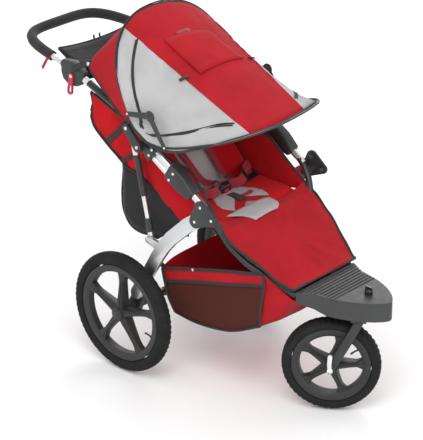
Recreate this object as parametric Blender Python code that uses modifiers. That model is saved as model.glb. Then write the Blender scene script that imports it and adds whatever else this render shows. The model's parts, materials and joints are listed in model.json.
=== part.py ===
"""Three-wheeled jogging stroller, built as separate named pieces.

Metres, +Z up. The stroller faces -Y, so its right side is -X and its left side is +X.
The origin is on the ground, under the middle of the overall box. Side-view points are (y, z).
"""

import math

import bmesh
import bpy
from mathutils import Matrix, Vector

# ---------------------------------------------------------------- driving dimensions
SIDES = {"right": -1, "left": 1}
GAP = 0.0003  # running gap between pieces that touch

REAR_AXLE = (0.132, 0.200)  # y, z of the rear wheel centres
REAR_TRACK = 0.289  # half distance between the rear tyres' middles
REAR_TYRE_R, REAR_TYRE_HALF = 0.200, 0.022
REAR_RIM_R, REAR_WINDOW_R = 0.157, 0.135
FRONT_TYRE_R, FRONT_TYRE_HALF = 0.154, 0.026
FRONT_RIM_R, FRONT_WINDOW_R = 0.119, 0.096

SWIVEL_Y = -0.589  # the fork's upright swivel axis is at x = 0
SWIVEL_YAW = 0.591  # the front wheel stands turned by this much
TRAIL = 0.087  # front axle behind the swivel axis

FOLD_PIVOT = (0.087, 0.762)
LINK_TOP = (0.132, 0.813)  # the strut hangs from this rivet
BEAM_PIVOT = (-0.152, 0.588)
BEAM_FOOT = (0.105, 0.262)  # the brake carriers are bolted on here
STRUT_BALL = (0.051, 0.462)
CANOPY_PIVOT = (0.117, 0.843)
BRACE_REAR, BRACE_KNEE, BRACE_FRONT = (0.122, 0.863), (0.025, 0.878), (-0.032, 0.794)
SEAT_PIVOT = (0.010, 0.495)
LEVER_PIVOT = (0.400, 0.904)
CAM_X = 0.0580  # from the front wheel's middle to the quick-release lever's barrel

FRAME_X = 0.232  # lower frame's tubes
UPPER_X = 0.214  # side tubes under the canopy's edge
HANDLE_X = 0.205  # half width of the handlebar's feet
STRUT_X = 0.238
BEAM_FACES = (0.2445, 0.2595)
LINK_FACES = (0.2505, 0.2625)
REAR_BOW_X, FRONT_BOW_X = 0.2522, 0.2610
SEAT_HALF = 0.1925

HOUSING_TOP, HOUSING_FOOT = (-0.0245, 0.7145), (-0.122, 0.653)
TWIN_LENGTH, TWIN_DROP = 0.066, 0.008  # the twin tubes sit a little below the housing's axis

# ---------------------------------------------------------------- materials
FINISHES = {
    "silver_tube": ((0.72, 0.73, 0.74), 0.30, 1.0),
    "black_tube": ((0.045, 0.045, 0.048), 0.45, 0.3),
    "dark_plastic": ((0.060, 0.062, 0.065), 0.55, 0.0),
    "grey_plastic": ((0.12, 0.12, 0.125), 0.50, 0.0),
    "foam": ((0.045, 0.045, 0.047), 0.90, 0.0),
    "tyre": ((0.050, 0.050, 0.050), 0.80, 0.0),
    "steel": ((0.60, 0.60, 0.60), 0.35, 1.0),
    "red_plastic": ((0.50, 0.02, 0.04), 0.40, 0.0),
    "red_fabric": ((0.52, 0.035, 0.045), 0.85, 0.0),
    "black_mesh": ((0.030, 0.028, 0.030), 0.90, 0.0),
}


def make_materials():
    made = {}
    for name, (colour, roughness, metallic) in FINISHES.items():
        material = bpy.data.materials.new(name)
        material.use_nodes = True
        shader = material.node_tree.nodes["Principled BSDF"]
        shader.inputs["Base Color"].default_value = (*colour, 1.0)
        shader.inputs["Roughness"].default_value = roughness
        shader.inputs["Metallic"].default_value = metallic
        made[name] = material
    return made


for old in list(bpy.data.objects):
    bpy.data.objects.remove(old, do_unlink=True)
MATERIALS = make_materials()
PARTS = bpy.data.collections.new("jogging_stroller")
CUTTERS = bpy.data.collections.new("cutters")
bpy.context.scene.collection.children.link(PARTS)
bpy.context.scene.collection.children.link(CUTTERS)


# ---------------------------------------------------------------- modelling helpers
def finish(obj, material=None, sharp=35):
    """Name the material and shade a piece."""
    obj.data.materials.clear()
    if material:
        obj.data.materials.append(MATERIALS[material])
    obj.data.shade_smooth()
    obj.data.set_sharp_from_angle(angle=math.radians(sharp))
    return obj


def mesh_from_curve(curve_obj):
    """A curve's evaluated, welded mesh as a new object in the same place; the curve is removed."""
    name, place = curve_obj.name, curve_obj.matrix_world.copy()
    graph = bpy.context.evaluated_depsgraph_get()
    mesh = bpy.data.meshes.new_from_object(curve_obj.evaluated_get(graph))
    bpy.data.objects.remove(curve_obj, do_unlink=True)
    bm = bmesh.new()
    bm.from_mesh(mesh)
    bmesh.ops.remove_doubles(bm, verts=bm.verts, dist=1e-6)
    bmesh.ops.recalc_face_normals(bm, faces=bm.faces)
    bm.to_mesh(mesh)
    bm.free()
    mesh.name = name
    obj = bpy.data.objects.new(name, mesh)
    obj.matrix_world = place
    PARTS.objects.link(obj)
    return obj


def tube(name, points, radius, material=None, resolution=3):
    """A round tube with closed ends through points."""
    data = bpy.data.curves.new(name, "CURVE")
    data.dimensions = "3D"
    data.bevel_depth = radius
    data.bevel_resolution = resolution
    data.use_fill_caps = True
    spline = data.splines.new("POLY")
    spline.points.add(len(points) - 1)
    for slot, point in zip(spline.points, points):
        slot.co = (*point, 1.0)
    obj = bpy.data.objects.new(name, data)
    PARTS.objects.link(obj)
    bpy.context.view_layer.update()
    return finish(mesh_from_curve(obj), material)


def smooth(points, steps):
    """Points on a smooth curve through the given ones, steps to a stretch."""
    pts = [Vector(p) for p in points]
    ends = [2 * pts[0] - pts[1]] + pts + [2 * pts[-1] - pts[-2]]
    out = []
    for a, b, c, d in zip(ends, ends[1:], ends[2:], ends[3:]):
        for i in range(steps):
            t = i / steps
            out.append(0.5 * (2 * b + (c - a) * t + (2 * a - 5 * b + 4 * c - d) * t * t
                              + (3 * b - a - 3 * c + d) * t ** 3))
    return out + [pts[-1]]


def arc(centre, radius, start, end, steps):
    return [(centre[0] + radius * math.cos(start + (end - start) * i / steps),
             centre[1] + radius * math.sin(start + (end - start) * i / steps)) for i in range(steps + 1)]


def hull_of_circles(circles, steps=8):
    """Outline round a few circles (centre, radius), taken in anticlockwise order."""
    outline = []
    for i, (centre, radius) in enumerate(circles):
        before, after = circles[i - 1], circles[(i + 1) % len(circles)]
        starts = outer_normal(before, (centre, radius))
        ends = outer_normal((centre, radius), after)
        while ends < starts:
            ends += 2 * math.pi
        outline += arc(centre, radius, starts, ends, steps)
    return outline


def outer_normal(first, second):
    """Direction of the outward normal of the line that touches two circles on the right."""
    (ay, az), ar = first
    (by, bz), br = second
    along = math.atan2(bz - az, by - ay)
    return along - math.pi / 2 + math.asin((br - ar) / math.hypot(by - ay, bz - az))


def capsule(start, start_radius, end, end_radius):
    return hull_of_circles([(start, start_radius), (end, end_radius)])


def strap(path, start_half, end_half, steps=6):
    """Outline of a band of changing width along a path, with round ends."""
    count = len(path) - 1
    left, right = [], []
    for i, point in enumerate(path):
        before, after = Vector(path[max(i - 1, 0)]), Vector(path[min(i + 1, count)])
        normal = Vector((-(after - before).y, (after - before).x)).normalized()
        half = start_half + (end_half - start_half) * i / count
        left.append(Vector(point) + normal * half)
        right.append(Vector(point) - normal * half)
    last = right[-1] - Vector(path[-1])
    first = left[0] - Vector(path[0])
    turn = math.pi
    tip = arc(path[-1], end_half, math.atan2(last.y, last.x), math.atan2(last.y, last.x) + turn, steps)
    tail = arc(path[0], start_half, math.atan2(first.y, first.x), math.atan2(first.y, first.x) + turn, steps)
    return [tuple(p) for p in right] + tip[1:-1] + [tuple(p) for p in reversed(left)] + tail[1:-1]


def extruded(name, outline, low, high, material=None, holes=(), turn=(math.pi / 2, 0, math.pi / 2), at=None):
    """A flat outline made solid between two heights; by default it lies in the side view, along x."""
    data = bpy.data.curves.new(name, "CURVE")
    data.dimensions = "2D"
    data.fill_mode = "BOTH"
    data.extrude = (high - low) / 2
    for loop in [outline, *holes]:
        spline = data.splines.new("POLY")
        spline.points.add(len(loop) - 1)
        for slot, point in zip(spline.points, loop):
            slot.co = (point[0], point[1], 0.0, 1.0)
        spline.use_cyclic_u = True
    obj = bpy.data.objects.new(name, data)
    middle = (low + high) / 2
    obj.rotation_euler = turn
    obj.location = at or (middle, 0, 0)
    PARTS.objects.link(obj)
    bpy.context.view_layer.update()
    return finish(mesh_from_curve(obj), material)


def side_plate(name, outline, low, high, side, material=None, holes=()):
    """An extruded side-view outline between two distances from the middle plane, on one side."""
    inner, outer = sorted((side * low, side * high))
    return extruded(name, outline, inner, outer, material, holes)


def top_plate(name, outline, low, high, material=None):
    """An extruded top-view outline (x, y) between two heights."""
    return extruded(name, outline, low, high, material, turn=(0, 0, 0), at=(0, 0, (low + high) / 2))


def turned(name, profile, place, steps=32, material=None):
    """A turned piece: profile is (radius, height) round z, moved by the matrix place.

    The points run down the outer side. A closed ring's profile ends where it starts.
    """
    closed = profile[0] == profile[-1]
    points = profile[:-1] if closed else profile
    mesh = bpy.data.meshes.new(name)
    edges = [(i, i + 1) for i in range(len(points) - 1)]
    if closed:
        edges.append((len(points) - 1, 0))
    mesh.from_pydata([(r, 0, h) for r, h in points], edges, [])
    obj = bpy.data.objects.new(name, mesh)
    PARTS.objects.link(obj)
    screw = obj.modifiers.new("turn", "SCREW")
    screw.steps = screw.render_steps = steps
    screw.use_merge_vertices = True
    screw.merge_threshold = 1e-6
    bpy.context.view_layer.update()
    obj = mesh_from_curve(obj)
    obj.matrix_world = place
    return finish(obj, material)


def along_x(x, y, z):
    """Places a piece turned round z so that its axis lies along x."""
    return Matrix.Translation((x, y, z)) @ Matrix.Rotation(math.pi / 2, 4, "Y")


def along(start, end):
    """Places a piece turned round z so that it stands at start and points to end."""
    start, end = Vector(start), Vector(end)
    return Matrix.Translation(start) @ (end - start).to_track_quat("Z", "Y").to_matrix().to_4x4()


def disc(name, radius, x_low, x_high, centre, material=None, steps=24):
    """A round bar along x between two x values."""
    half = (x_high - x_low) / 2
    profile = [(0, half), (radius, half), (radius, -half), (0, -half)]
    return turned(name, profile, along_x((x_low + x_high) / 2, *centre), steps, material)


def combine(target, others, operation):
    """Adds or cuts pieces into a piece, and applies it."""
    for other in others:
        change = target.modifiers.new(operation.lower(), "BOOLEAN")
        change.operation = operation
        change.object = other
        change.solver = "EXACT"
        bpy.context.view_layer.update()
        graph = bpy.context.evaluated_depsgraph_get()
        mesh = bpy.data.meshes.new_from_object(target.evaluated_get(graph))
        target.modifiers.clear()
        target.data = mesh
        bpy.data.objects.remove(other, do_unlink=True)
    bm = bmesh.new()
    bm.from_mesh(target.data)
    bmesh.ops.remove_doubles(bm, verts=bm.verts, dist=1e-6)
    bmesh.ops.triangulate(bm, faces=bm.faces, quad_method="FIXED", ngon_method="EAR_CLIP")
    bm.to_mesh(target.data)
    bm.free()
    return finish(target, target.data.materials[0].name if target.data.materials else None)


def block(name, low, high, material=None, bevel=0.0):
    """A box between two corners, with rounded edges."""
    bm = bmesh.new()
    size = [b - a for a, b in zip(low, high)]
    middle = [(a + b) / 2 for a, b in zip(low, high)]
    bmesh.ops.create_cube(bm, size=1.0, matrix=Matrix.Translation(middle) @ Matrix.Diagonal((*size, 1.0)))
    if bevel:
        bmesh.ops.bevel(bm, geom=bm.edges, offset=bevel, segments=2, affect="EDGES", profile=0.5)
    mesh = bpy.data.meshes.new(name)
    bm.to_mesh(mesh)
    bm.free()
    obj = bpy.data.objects.new(name, mesh)
    PARTS.objects.link(obj)
    return finish(obj, material)


def sheet(name, rows, thickness, material):
    """A thin shell over rows of points, made solid towards its inside."""
    mesh = bpy.data.meshes.new(name)
    width = len(rows[0])
    faces = [(r * width + c, r * width + c + 1, (r + 1) * width + c + 1, (r + 1) * width + c)
             for r in range(len(rows) - 1) for c in range(width - 1)]
    mesh.from_pydata([tuple(p) for row in rows for p in row], [], faces)
    obj = bpy.data.objects.new(name, mesh)
    PARTS.objects.link(obj)
    skin = obj.modifiers.new("thickness", "SOLIDIFY")
    skin.thickness = thickness
    skin.offset = 0
    skin.use_even_offset = False
    bpy.context.view_layer.update()
    return finish(mesh_from_curve(obj), material)


def offset_path(path, distance):
    """A side-view path moved sideways, to the left of its direction."""
    out = []
    for i, point in enumerate(path):
        before, after = Vector(path[max(i - 1, 0)]), Vector(path[min(i + 1, len(path) - 1)])
        normal = Vector((-(after - before).y, (after - before).x)).normalized()
        out.append(Vector(point) + normal * distance)
    return out


def lerp(a, b, t):
    return a + (b - a) * t


# ---------------------------------------------------------------- lower frame
LEG_REST = [(-0.208, 0.592), (-0.228, 0.560), (-0.250, 0.527), (-0.300, 0.487), (-0.345, 0.462),
            (-0.390, 0.434), (-0.427, 0.415), (-0.4435, 0.411)]
LEG_REST_SKIN = 0.008


def frame_half_width(y):
    """Half width of the leg rest, which narrows towards the footplate."""
    return 0.145 + 0.33 * (y + 0.45)


def front_rail(word, side):
    """Bent tube from the frame housing, behind the hub plate, to the footplate."""
    under = offset_path(LEG_REST[1:-2], 0.0215)
    path = [(side * FRAME_X, HOUSING_FOOT[0] - 0.0006, HOUSING_FOOT[1] - 0.0004),
            (side * FRAME_X, -0.172, 0.620)]
    path += [(side * (frame_half_width(p.x) + 0.004 - 0.02 * i / (len(under) - 1)), p.x, p.y)
             for i, p in enumerate(under)]
    path.append((side * 0.130, FOOTPLATE_REAR + 0.0062, 0.3885))
    return tube(f"front_rail_{word}", smooth(path, 4), 0.011, "black_tube")


def upper_leg_axes():
    """The direction up along the housing and twin tubes, and the direction square to it."""
    upward = (Vector(HOUSING_TOP) - Vector(HOUSING_FOOT)).normalized()
    return upward, Vector((-upward.y, upward.x))


def frame_housing(word, side):
    """Long moulded housing that joins the twin tubes to the front rail."""
    top, foot = Vector(HOUSING_TOP), Vector(HOUSING_FOOT)
    across = upper_leg_axes()[1]
    corners = [top - across * 0.028, top + across * 0.028, top.lerp(foot, 0.55) + across * 0.028,
               foot + across * 0.016, foot - across * 0.016, top.lerp(foot, 0.6) - across * 0.027]
    return side_plate(f"frame_housing_{word}", [tuple(c) for c in corners], 0.212, 0.252, side, "dark_plastic")


def twin_tubes(word, side):
    """Two parallel tubes drawn as one piece, joined by a thin web."""
    upward, across = upper_leg_axes()
    end = Vector(HOUSING_TOP) + upward * GAP - across * TWIN_DROP
    start = end + upward * TWIN_LENGTH
    along_axis = -upward
    spacing, radius = 0.0135, 0.0092
    tubes = []
    for sign in (-1, 1):
        ends = [start + across * spacing * sign, end + across * spacing * sign]
        tubes.append(tube(f"twin_{sign}", [(side * FRAME_X, p.x, p.y) for p in ends], radius, "silver_tube", 4))
    web = [start + along_axis * 0.002 + across * spacing, start + along_axis * 0.002 - across * spacing,
           end - along_axis * 0.002 - across * spacing, end - along_axis * 0.002 + across * spacing]
    joined = side_plate(f"twin_tubes_{word}", [tuple(p) for p in web], FRAME_X - 0.002, FRAME_X + 0.002, side,
                        "silver_tube")
    return combine(joined, tubes, "UNION")


def knuckle_fitting(word, side):
    """Fitting on the twin tubes' ends with the lug that the fold pivot goes through."""
    direction, across = upper_leg_axes()
    start = Vector(HOUSING_TOP) + direction * (TWIN_LENGTH + 2 * GAP) - across * TWIN_DROP
    foot = [start + across * 0.025, start + direction * 0.024 + across * 0.025]
    foot += [start + direction * 0.024 - across * 0.025, start - across * 0.025]
    fitting = side_plate(f"knuckle_fitting_{word}", [tuple(p) for p in foot], 0.2145, 0.2495, side, "dark_plastic")
    lug = side_plate("lug", capsule(FOLD_PIVOT, 0.016, tuple(start + direction * 0.0125), 0.012),
                     0.2165, 0.2495, side)
    bore = disc("bore", 0.0075, side * 0.232 - 0.03, side * 0.232 + 0.03, FOLD_PIVOT)
    combine(fitting, [lug], "UNION")
    return combine(fitting, [bore], "DIFFERENCE")


def hub_plate(word, side):
    """Rounded three-rivet plate: two bosses reach in to the frame and one is the beam's pivot."""
    corners = [((-0.175, 0.641), 0.021), ((-0.219, 0.611), 0.016), ((-0.152, 0.588), 0.021)]
    plate = side_plate(f"hub_plate_{word}", hull_of_circles(corners), 0.2600, 0.2660, side, "dark_plastic")
    middle = side * 0.2525
    bosses = [disc("boss", 0.008, middle - 0.009, middle + 0.009, corners[0][0]),
              disc("boss", 0.007, middle - 0.009, middle + 0.009, corners[1][0]),
              disc("pivot", 0.008, middle - 0.009, middle + 0.009, corners[2][0])]
    return combine(plate, bosses, "UNION")


def seat_cross_tube():
    """Dropped tube under the seat's front edge that joins the two rails."""
    half = [(-0.2075, -0.2020, 0.5640), (-0.200, -0.204, 0.546), (-0.178, -0.206, 0.532), (-0.120, -0.206, 0.529)]
    path = half + [(-x, y, z) for x, y, z in reversed(half)]
    return tube("seat_cross_tube", smooth(path, 3), 0.008, "black_tube")


FOOTPLATE_REAR, FOOTPLATE_NOSE = -0.4450, -0.698
FOOTPLATE_TOP, FOOTPLATE_FOOT = 0.402, 0.340


FOOTPLATE_HALF = [(0.138, FOOTPLATE_REAR), (0.134, -0.458), (0.112, -0.495), (0.103, -0.535), (0.097, -0.562),
                  (0.090, -0.584), (0.081, -0.606), (0.070, -0.628), (0.057, -0.649), (0.043, -0.667),
                  (0.028, -0.682), (0.013, -0.6935), (0, FOOTPLATE_NOSE)]


def footplate_outline(inset=0.0):
    """Top view of the footplate: wide at the back, narrowing to a rounded point at the front."""
    moved = offset_path(FOOTPLATE_HALF, -inset) if inset else [Vector(p) for p in FOOTPLATE_HALF]
    half = [(p.x, p.y) for p in moved[:-1]] + [(0, FOOTPLATE_NOSE + inset)]
    return half + [(-x, y) for x, y in reversed(half[:-1])]


def footplate():
    """Moulded footplate with a deep skirt, open underneath."""
    plate = top_plate("footplate", footplate_outline(), FOOTPLATE_FOOT, FOOTPLATE_TOP, "grey_plastic")
    rear_wall, corner_half = FOOTPLATE_REAR - 0.012, 0.1275
    front = [p for p in footplate_outline(0.006) if p[1] < rear_wall - 0.010]
    cavity = top_plate("cavity", [(corner_half, rear_wall)] + front + [(-corner_half, rear_wall)], FOOTPLATE_FOOT - 0.01, FOOTPLATE_TOP - 0.007)
    wedge_side = [(FOOTPLATE_REAR + 0.02, 0.375), (FOOTPLATE_REAR - 0.090, FOOTPLATE_FOOT - 0.0002),
                  (FOOTPLATE_REAR - 0.090, 0.315), (FOOTPLATE_REAR + 0.02, 0.315)]
    wedge = extruded("wedge", wedge_side, -0.2, 0.2)
    knob_hole = turned("hole", [(0, 0.02), (0.0065, 0.02), (0.0065, -0.02), (0, -0.02)],
                       Matrix.Translation((0, KNOB_Y, FOOTPLATE_TOP)), 16)
    return combine(plate, [cavity, wedge, knob_hole], "DIFFERENCE")


KNOB_Y = -0.613


def steering_head():
    """Upright bearing tube under the footplate that holds the fork's stem."""
    profile = [(0.0088, 0.3945), (0.021, 0.3945), (0.021, 0.331), (0.0088, 0.331), (0.0088, 0.3945)]
    return turned("steering_head", profile, Matrix.Translation((0, SWIVEL_Y, 0)), 28, "black_tube")


def swivel_knob():
    """Knob through the footplate that locks the front wheel straight."""
    knob = turned("swivel_knob", [(0, 0.418), (0.010, 0.418), (0.0125, 0.414), (0.0125, 0.4024), (0.0060, 0.4024),
                                  (0.0060, 0.3953), (0, 0.3953)], Matrix.Translation((0, KNOB_Y, 0)), 20,
                  "dark_plastic")
    grip = block("grip", (-0.003, KNOB_Y - 0.0115, 0.412), (0.003, KNOB_Y + 0.0115, 0.426))
    return combine(knob, [grip], "UNION")


# ---------------------------------------------------------------- fork and front wheel
def swivel_parent():
    holder = bpy.data.objects.new("swivel_axis", None)
    holder.location = (0, SWIVEL_Y, 0)
    holder.rotation_euler = (0, 0, SWIVEL_YAW)
    PARTS.objects.link(holder)
    bpy.context.view_layer.update()
    return holder


def fork():
    """Crown, stem and two blades that lean back to the front axle."""
    crown = block("fork", (-0.046, -0.018, 0.3155), (0.046, 0.030, 0.3305), "dark_plastic", 0.003)
    stem = turned("stem", [(0, 0.392), (0.0083, 0.392), (0.0083, 0.322), (0, 0.322)], Matrix(), 20)
    blades = []
    for side in (-1, 1):
        blade = side_plate("blade", strap([(0.004, 0.318), (0.042, 0.238), (TRAIL, FRONT_TYRE_R)], 0.013, 0.013),
                           0.0375, 0.0450, side)
        blades.append(blade)
    combine(crown, [stem, *blades], "UNION")
    axle_hole = disc("hole", 0.0056, -0.06, 0.06, (TRAIL, FRONT_TYRE_R), steps=16)
    return combine(crown, [axle_hole], "DIFFERENCE")


def front_axle():
    half = 0.0515
    profile = [(0, half), (0.009, half), (0.009, 0.0455), (0.005, 0.0455), (0.005, -0.0455), (0.009, -0.0455),
               (0.009, -half), (0, -half)]
    return turned("front_axle", profile, along_x(0, TRAIL, FRONT_TYRE_R), 16, "steel")


def quick_release_lever():
    """Cam lever at the front axle's near end: it swings outwards about its barrel."""
    path = [(TRAIL, FRONT_TYRE_R + 0.004), (TRAIL + 0.002, FRONT_TYRE_R + 0.024), (TRAIL, FRONT_TYRE_R + 0.050)]
    lever = side_plate("quick_release_lever", strap(path, 0.0060, 0.0070), CAM_X - 0.0025, CAM_X + 0.0025, -1, "steel")
    barrel = turned("barrel", [(0, 0.008), (0.0062, 0.008), (0.0062, -0.008), (0, -0.008)],
                    Matrix.Translation((-CAM_X, TRAIL, FRONT_TYRE_R)) @ Matrix.Rotation(math.pi / 2, 4, "X"), 16)
    return combine(lever, [barrel], "UNION")


def wheel_windows(spokes, rim, hub, spoke_half):
    """Outlines of the gaps between the spokes."""
    loops = []
    for i in range(spokes):
        start, end = 2 * math.pi * i / spokes, 2 * math.pi * (i + 1) / spokes
        outer, inner = math.asin(spoke_half * 1.3 / rim), math.asin(min(0.95, spoke_half / hub))
        loop = arc((0, 0), rim, start + outer, end - outer, 7) + arc((0, 0), hub, end - inner, start + inner, 2)
        loops.append(loop)
    return loops


def wheel_rim(name, rim_radius, window_radius, half, hub_faces, axle_radius, place):
    """Five-spoke moulded rim with its hub."""
    ring = arc((0, 0), rim_radius, 0, 2 * math.pi, 40)[:-1]
    rim = extruded(name, ring, -half, half, "dark_plastic", wheel_windows(5, window_radius, 0.030, 0.0085),
                   turn=(math.pi / 2, 0, math.pi / 2), at=(0, 0, 0))
    hub = disc("hub", 0.0215, hub_faces[0], hub_faces[1], (0, 0), steps=20)
    combine(rim, [hub], "UNION")
    bore = disc("bore", axle_radius + 0.0006, hub_faces[0] - 0.01, hub_faces[1] + 0.01, (0, 0), steps=16)
    combine(rim, [bore], "DIFFERENCE")
    rim.matrix_world = place @ rim.matrix_world
    return rim


def tyre(name, outer, half, inner, place):
    """Pneumatic tyre as a ring of rounded section."""
    middle, tall = (outer + inner) / 2, (outer - inner) / 2
    section = [(middle + tall * math.copysign(abs(math.cos(a)) ** 0.8, math.cos(a)),
                half * math.copysign(abs(math.sin(a)) ** 0.8, math.sin(a)))
               for a in [-2 * math.pi * (i + 0.5) / 12 for i in range(12)]]
    return turned(name, section + [section[0]], place @ Matrix.Rotation(math.pi / 2, 4, "Y"), 40, "tyre")


# ---------------------------------------------------------------- rear frame
BEAM_PATH = [BEAM_PIVOT, (-0.115, 0.562), (-0.080, 0.530), (-0.046, 0.497), (-0.016, 0.461), (0.014, 0.415),
             (0.044, 0.362), BEAM_FOOT]


def rear_beam(word, side):
    """Flat curved beam from the hub plate to the brake carrier, with the strut's bracket."""
    beam = side_plate(f"rear_beam_{word}", strap(BEAM_PATH, 0.0235, 0.021), *BEAM_FACES, side, "silver_tube")
    bracket = side_plate("bracket", capsule(STRUT_BALL, 0.011, (0.000, 0.452), 0.016), 0.2480, 0.2580, side)
    pin = disc("pin", 0.005, side * 0.2390 - 0.0105, side * 0.2390 + 0.0105, STRUT_BALL, steps=16)
    combine(beam, [bracket, pin], "UNION")
    pivot = disc("pivot", 0.0086, side * 0.25 - 0.02, side * 0.25 + 0.02, BEAM_PIVOT)
    return combine(beam, [pivot], "DIFFERENCE")


def rear_axle_tube():
    """Tube between the two brake carriers, on the rear wheels' line."""
    return disc("rear_axle_tube", 0.013, -0.2218, 0.2218, REAR_AXLE, "black_tube", 20)


def brake_carrier(word, side):
    """Moulded carrier from the beam's foot to the rear wheel, with the wheel's stub axle."""
    arm = side_plate(f"brake_carrier_{word}", capsule(BEAM_FOOT, 0.020, REAR_AXLE, 0.024), 0.2222, 0.2438, side,
                     "dark_plastic")
    stub = disc("stub", 0.006, *sorted((side * 0.2300, side * 0.3220)), REAR_AXLE, steps=16)
    collar = disc("collar", 0.013, *sorted((side * 0.2400, side * 0.2630)), REAR_AXLE, steps=20)
    cap = disc("cap", 0.012, *sorted((side * 0.3145, side * 0.3225)), REAR_AXLE, steps=20)
    return combine(arm, [collar, stub, cap], "UNION")


def strut_line(distance, side):
    """A point on the strut's axis at a distance from its ball."""
    ball, top = Vector((side * STRUT_X, *STRUT_BALL)), Vector((side * STRUT_X, *LINK_TOP))
    return ball + (top - ball).normalized() * distance


def strut_rod(word, side):
    """Lower half of the strut: ball end, dark fitting and silver rod."""
    place = along(strut_line(0, side), strut_line(0.3, side))
    profile = [(0, 0.200), (0.0078, 0.200), (0.0078, 0.066), (0.0095, 0.066), (0.0095, 0.020), (0.0092, 0.008),
               (0.0085, -0.006), (0.0045, -0.011), (0, -0.011)]
    rod = turned(f"strut_rod_{word}", profile, place, 16, "silver_tube")
    eye = disc("eye", 0.0056, side * STRUT_X - 0.02, side * STRUT_X + 0.02, STRUT_BALL, steps=16)
    return combine(rod, [eye], "DIFFERENCE")


def strut_sleeve(word, side):
    """Upper half of the strut: a dark sleeve over the rod, which ends below the link's rivet."""
    place = along(strut_line(0, side), strut_line(0.3, side))
    profile = [(0, 0.340), (0.0070, 0.340), (0.0095, 0.330), (0.0095, 0.138), (0.0081, 0.138), (0.0081, 0.2050),
               (0, 0.2050)]
    return turned(f"strut_sleeve_{word}", profile, place, 16, "dark_plastic")


# ---------------------------------------------------------------- upper frame and handlebar
SIDE_TUBE_TOP, SIDE_TUBE_FOOT = (0.3539, 0.9016), (0.118, 0.808)
HANDLE_START = (0.4545, 0.929)
CONSOLE_HALF, CONSOLE_EDGE, CONSOLE_SAG = 0.186, (0.494, 0.963), 0.010
HANDLE_LENGTH, HANDLE_TILT, HANDLE_SQUARE, HANDLE_TAPER = 0.2285, 0.132, 4.5, 0.16


def handle_point(angle):
    """A point on the handlebar's loop, from the right foot (0) to the left foot (pi)."""
    reach = abs(math.sin(angle)) ** (2 / HANDLE_SQUARE)
    across = math.copysign(abs(math.cos(angle)) ** (2 / HANDLE_SQUARE), -math.cos(angle))
    return Vector((HANDLE_X * across * (1 - HANDLE_TAPER * reach),
                   HANDLE_START[0] + HANDLE_LENGTH * reach * math.cos(HANDLE_TILT),
                   HANDLE_START[1] + HANDLE_LENGTH * reach * math.sin(HANDLE_TILT)))


def handle_path(first, count):
    """Evenly spread points on the loop, leaving the same stretch free at both feet."""
    fine = [handle_point(math.pi * i / 2000) for i in range(2001)]
    lengths = [0.0]
    for a, b in zip(fine, fine[1:]):
        lengths.append(lengths[-1] + (b - a).length)
    wanted = [lerp(first, lengths[-1] - first, i / (count - 1)) for i in range(count)]
    out, i = [], 0
    for distance in wanted:
        while i < len(lengths) - 2 and lengths[i + 1] < distance:
            i += 1
        share = (distance - lengths[i]) / (lengths[i + 1] - lengths[i])
        out.append(fine[i].lerp(fine[i + 1], share))
    return out


def handlebar():
    return tube("handlebar", handle_path(0.0, 45), 0.0105, "silver_tube")


def handle_grip():
    """Foam sleeve round the loop of the handlebar."""
    grip = tube("handle_grip", handle_path(0.055, 39), 0.0165, "foam")
    bore = tube("bore", handle_path(0.045, 41), 0.0109)
    return combine(grip, [bore], "DIFFERENCE")


def handle_housing(word, side):
    """D-shaped housing between the handlebar and the side tube."""
    outline = [(0.4508, 0.945), (0.400, 0.947), (0.3484, 0.9176), (0.3610, 0.8860), (0.370, 0.877), (0.385, 0.870),
               (0.405, 0.868), (0.425, 0.872), (0.443, 0.885), (0.4508, 0.905)]
    return side_plate(f"handle_housing_{word}", outline, 0.1885, 0.2205, side, "dark_plastic")


def side_tube(word, side):
    return tube(f"side_tube_{word}", [(side * UPPER_X * 0.985, *SIDE_TUBE_TOP), (side * UPPER_X, *SIDE_TUBE_FOOT)],
                0.0115, "black_tube")


def knuckle_link(word, side):
    """Outer link plate; its bosses are the fold pivot and the strut's upper rivet."""
    link = side_plate(f"knuckle_link_{word}", capsule(LINK_TOP, 0.0135, FOLD_PIVOT, 0.0160), *LINK_FACES, side,
                      "dark_plastic")
    inner = UPPER_X + 0.0125
    rivet = disc("rivet", 0.008, *sorted((side * inner, side * 0.2560)), LINK_TOP, steps=20)
    pin = disc("pin", 0.007, *sorted((side * 0.2170, side * 0.2560)), FOLD_PIVOT, steps=20)
    lobe = side_plate("lobe", capsule(CANOPY_PIVOT, 0.006, (0.134, 0.816), 0.0075), 0.2405, 0.2478, side)
    return combine(link, [rivet, pin, lobe], "UNION")


def handle_console():
    """Sling of cloth between the two housings, open to the back."""
    profile = [(0.352, 0.927), (0.400, 0.934), (0.450, 0.949), (CONSOLE_EDGE[0], CONSOLE_EDGE[1]), (0.484, 0.938),
               (0.440, 0.914), (0.392, 0.896)]
    lines = []
    for y, z in profile:
        lines.append([Vector((CONSOLE_HALF * i / 4, y, z - CONSOLE_SAG * (1 - (i / 4) ** 2))) for i in range(-4, 5)])
    return sheet("handle_console", lines, 0.003, "black_mesh")


def parking_brake_lever():
    """Red hand lever on the right housing."""
    outline = capsule(LEVER_PIVOT, 0.0085, (0.4065, 0.852), 0.0115)
    slot = capsule((0.4045, 0.868), 0.0045, (0.4065, 0.853), 0.0055)
    return side_plate("parking_brake_lever", outline, 0.2208, 0.2268, -1, "red_plastic", [slot])


# ---------------------------------------------------------------- canopy
BOW_HALF, BOW_HEIGHT, BOW_SQUARE = REAR_BOW_X, 0.228, 2.27
BOW_FOOT, BOW_LEAN = (0.138, 0.884), 0.519


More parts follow.
